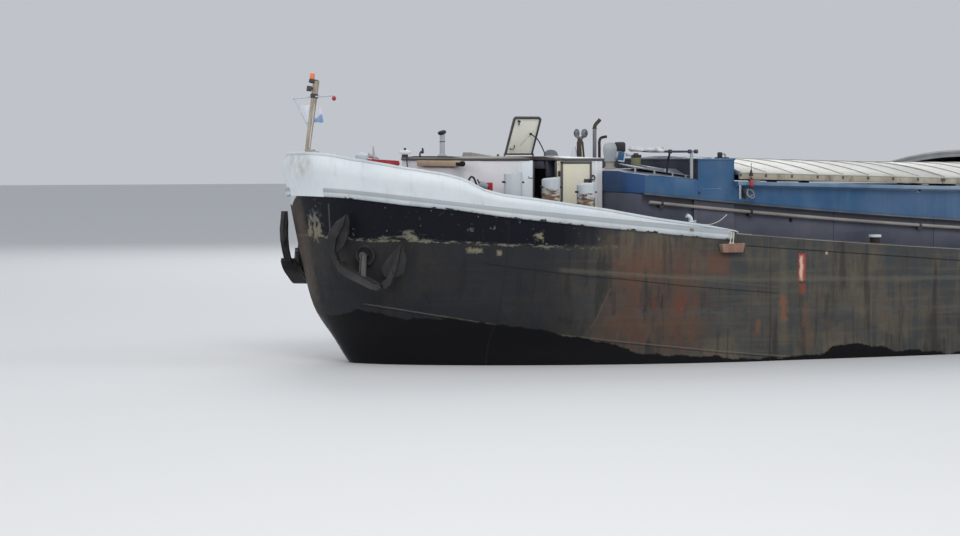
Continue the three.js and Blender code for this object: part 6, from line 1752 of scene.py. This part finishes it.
wheel = {"fore": -20.15, "aft": -23.0, "half": 1.75, "top": 5.75, "sill": 4.72, "head": 5.52}


def makeWheelhouse():
    w = wheel
    bm = bmesh.new()
    copyNode(bm, "wheelhouse_walls", bevel=0.008, angle=40)
    bars = [-w["half"] + 0.15, -0.62, 0.62, w["half"] - 0.15]
    openings = [(a + 0.045, b - 0.045) for a, b in zip(bars, bars[1:])]
    x = w["fore"]
    for y0, y1 in openings:
        middle = (y0 + y1) / 2
        addBox(bm, (x - 0.03, y0, w["sill"]), (x - 0.024, y1, w["head"]), 0, mat=2)
        for low, high in (((x - 0.02, y0 - 0.03, w["sill"] - 0.03), (x + 0.015, y1 + 0.03, w["sill"] + 0.01)),
                          ((x - 0.02, y0 - 0.03, w["head"] - 0.01), (x + 0.015, y1 + 0.03, w["head"] + 0.03)),
                          ((x - 0.02, y0 - 0.03, w["sill"]), (x + 0.015, y0 + 0.01, w["head"])),
                          ((x - 0.02, y1 - 0.01, w["sill"]), (x + 0.015, y1 + 0.03, w["head"]))):
            addBox(bm, low, high, 0.005, mat=1)
        # wiper
        addPipe(bm, [(x + 0.02, middle, w["head"]), (x + 0.03, middle - 0.06, 5.3), (x + 0.03, middle - 0.14, 4.95)],
                0.007, mat=3)
    for a, b in ((-1.5, -0.5), (0.5, 1.5)):
        addBox(bm, (w["aft"] + 0.024, a, w["sill"]), (w["aft"] + 0.03, b, w["head"]), 0, mat=2)
    for s in (1, -1):
        y = w["half"]
        addSideBox(bm, s, (-21.75, y - 0.03, w["sill"]), (-20.35, y - 0.024, w["head"]), 0, mat=2)
        for z in (w["sill"] - 0.03, w["head"] - 0.01):
            addSideBox(bm, s, (-21.78, y - 0.02, z), (-20.32, y + 0.015, z + 0.04), 0.005, mat=1)
        # side lamp in its screen, port red and starboard green
        addSideBox(bm, s, (-20.6, y + 0.005, 5.56), (-20.3, y + 0.1, 5.58), 0.004, mat=3)
        addSideBox(bm, s, (-20.6, y + 0.005, 5.58), (-20.58, y + 0.1, 5.7), 0.004, mat=3)
        lamp = s * (y + 0.05)
        addRod(bm, (-20.45, lamp, 5.58), (-20.45, lamp, 5.68), 0.035, sides=14, mat=4 if s > 0 else 5, bevel=0.006)
    finishPiece(bm, "wheelhouseWalls", ["houseWhite", "varnish", "glass", "darkIron", "red", "greenPaint"],
                replaced=["wheelhouse_walls"])
    bm = bmesh.new()
    copyNode(bm, "wheelhouse_roof", lambda c, n: 1 if abs(n.z) < 0.6 else 0, bevel=0.012, angle=20)
    # searchlight at the fore edge
    addRod(bm, (-20.5, 0.9, 5.84), (-20.5, 0.9, 5.98), 0.02, sides=10, mat=2)
    addRod(bm, (-20.6, 0.9, 6.05), (-20.4, 0.9, 6.05), 0.07, 0.1, sides=20, mat=2, bevel=0.008)
    addRod(bm, (-20.402, 0.9, 6.05), (-20.392, 0.9, 6.05), 0.092, sides=20, mat=3)
    finishPiece(bm, "wheelhouseRoof", ["paleGrey", "varnish", "vesselGrey", "glass"],
                replaced=["wheelhouse_roof"])
    for side, s in (("port", 1), ("starboard", -1)):
        bm = bmesh.new()
        copyNode(bm, "wheelhouse_door_" + side, bevel=0.006)
        y = w["half"] - 0.025
        addSideBox(bm, s, (-22.59, y - 0.003, w["sill"]), (-22.0, y + 0.003, w["head"]), 0, mat=1)
        addSideBox(bm, s, (-22.55, y + 0.02, 3.98), (-22.04, y + 0.028, 4.6), 0.003)
        a, b = sorted((s * (y + 0.02), s * (y + 0.07)))
        addRod(bm, (-22.63, a, 4.62), (-22.63, b, 4.62), 0.014, sides=10, mat=2)
        addBall(bm, (-22.63, s * (y + 0.06), 4.62), 0.024, mat=2, sides=10)
        finishPiece(bm, "wheelhouseDoor" + side.capitalize(), ["varnish", "glass", "bronze"],
                    "wheelhouse_door_" + side, ["wheelhouse_door_" + side])
    plainPiece("helmConsole", ["varnish", "bronze"], "varnished_wood", ["helm_console"], lambda c,
               n: 1 if c.x < -20.97 else 0, bevel=0.004, angle=40)
    for name, node, mat in (("radarMastFoot", "radar_mast_foot", "houseWhite"),
                            ("radarMast", "radar_mast", "houseWhite"), ("radarScanner", "radar_scanner", "paleGrey")):
        plainPiece(name, [mat], "white_paint", [node], bevel=0.006, angle=40)


cylinders = {"count": 6, "fore": -20.5, "pitch": 0.25, "half": (0.1, 0.3), "foot": 1.74, "thick": 0.005}


def makeDrive():
    bm = bmesh.new()
    copyNode(bm, "engine", bevel=0.008, angle=40)
    c = cylinders
    for i in range(c["count"]):
        x = c["fore"] - i * c["pitch"]
        addBox(bm, (x - c["half"][0], -c["half"][1], c["foot"]),
               (x + c["half"][0], c["half"][1], c["foot"] + c["thick"]), 0.002)
    finishPiece(bm, "engineBlock", ["engineGreen"], replaced=["engine"])
    plainPiece("propellerWheel", ["bronze"], "bronze", ["propeller"], bevel=0.008, angle=40)
    plainPiece("rudderBlade", ["hullPaint"], "hull_black", ["rudder"], bevel=0.008, angle=40)


makeAftHouse()
makeWheelhouse()
makeDrive()
print("aft house and drive done")
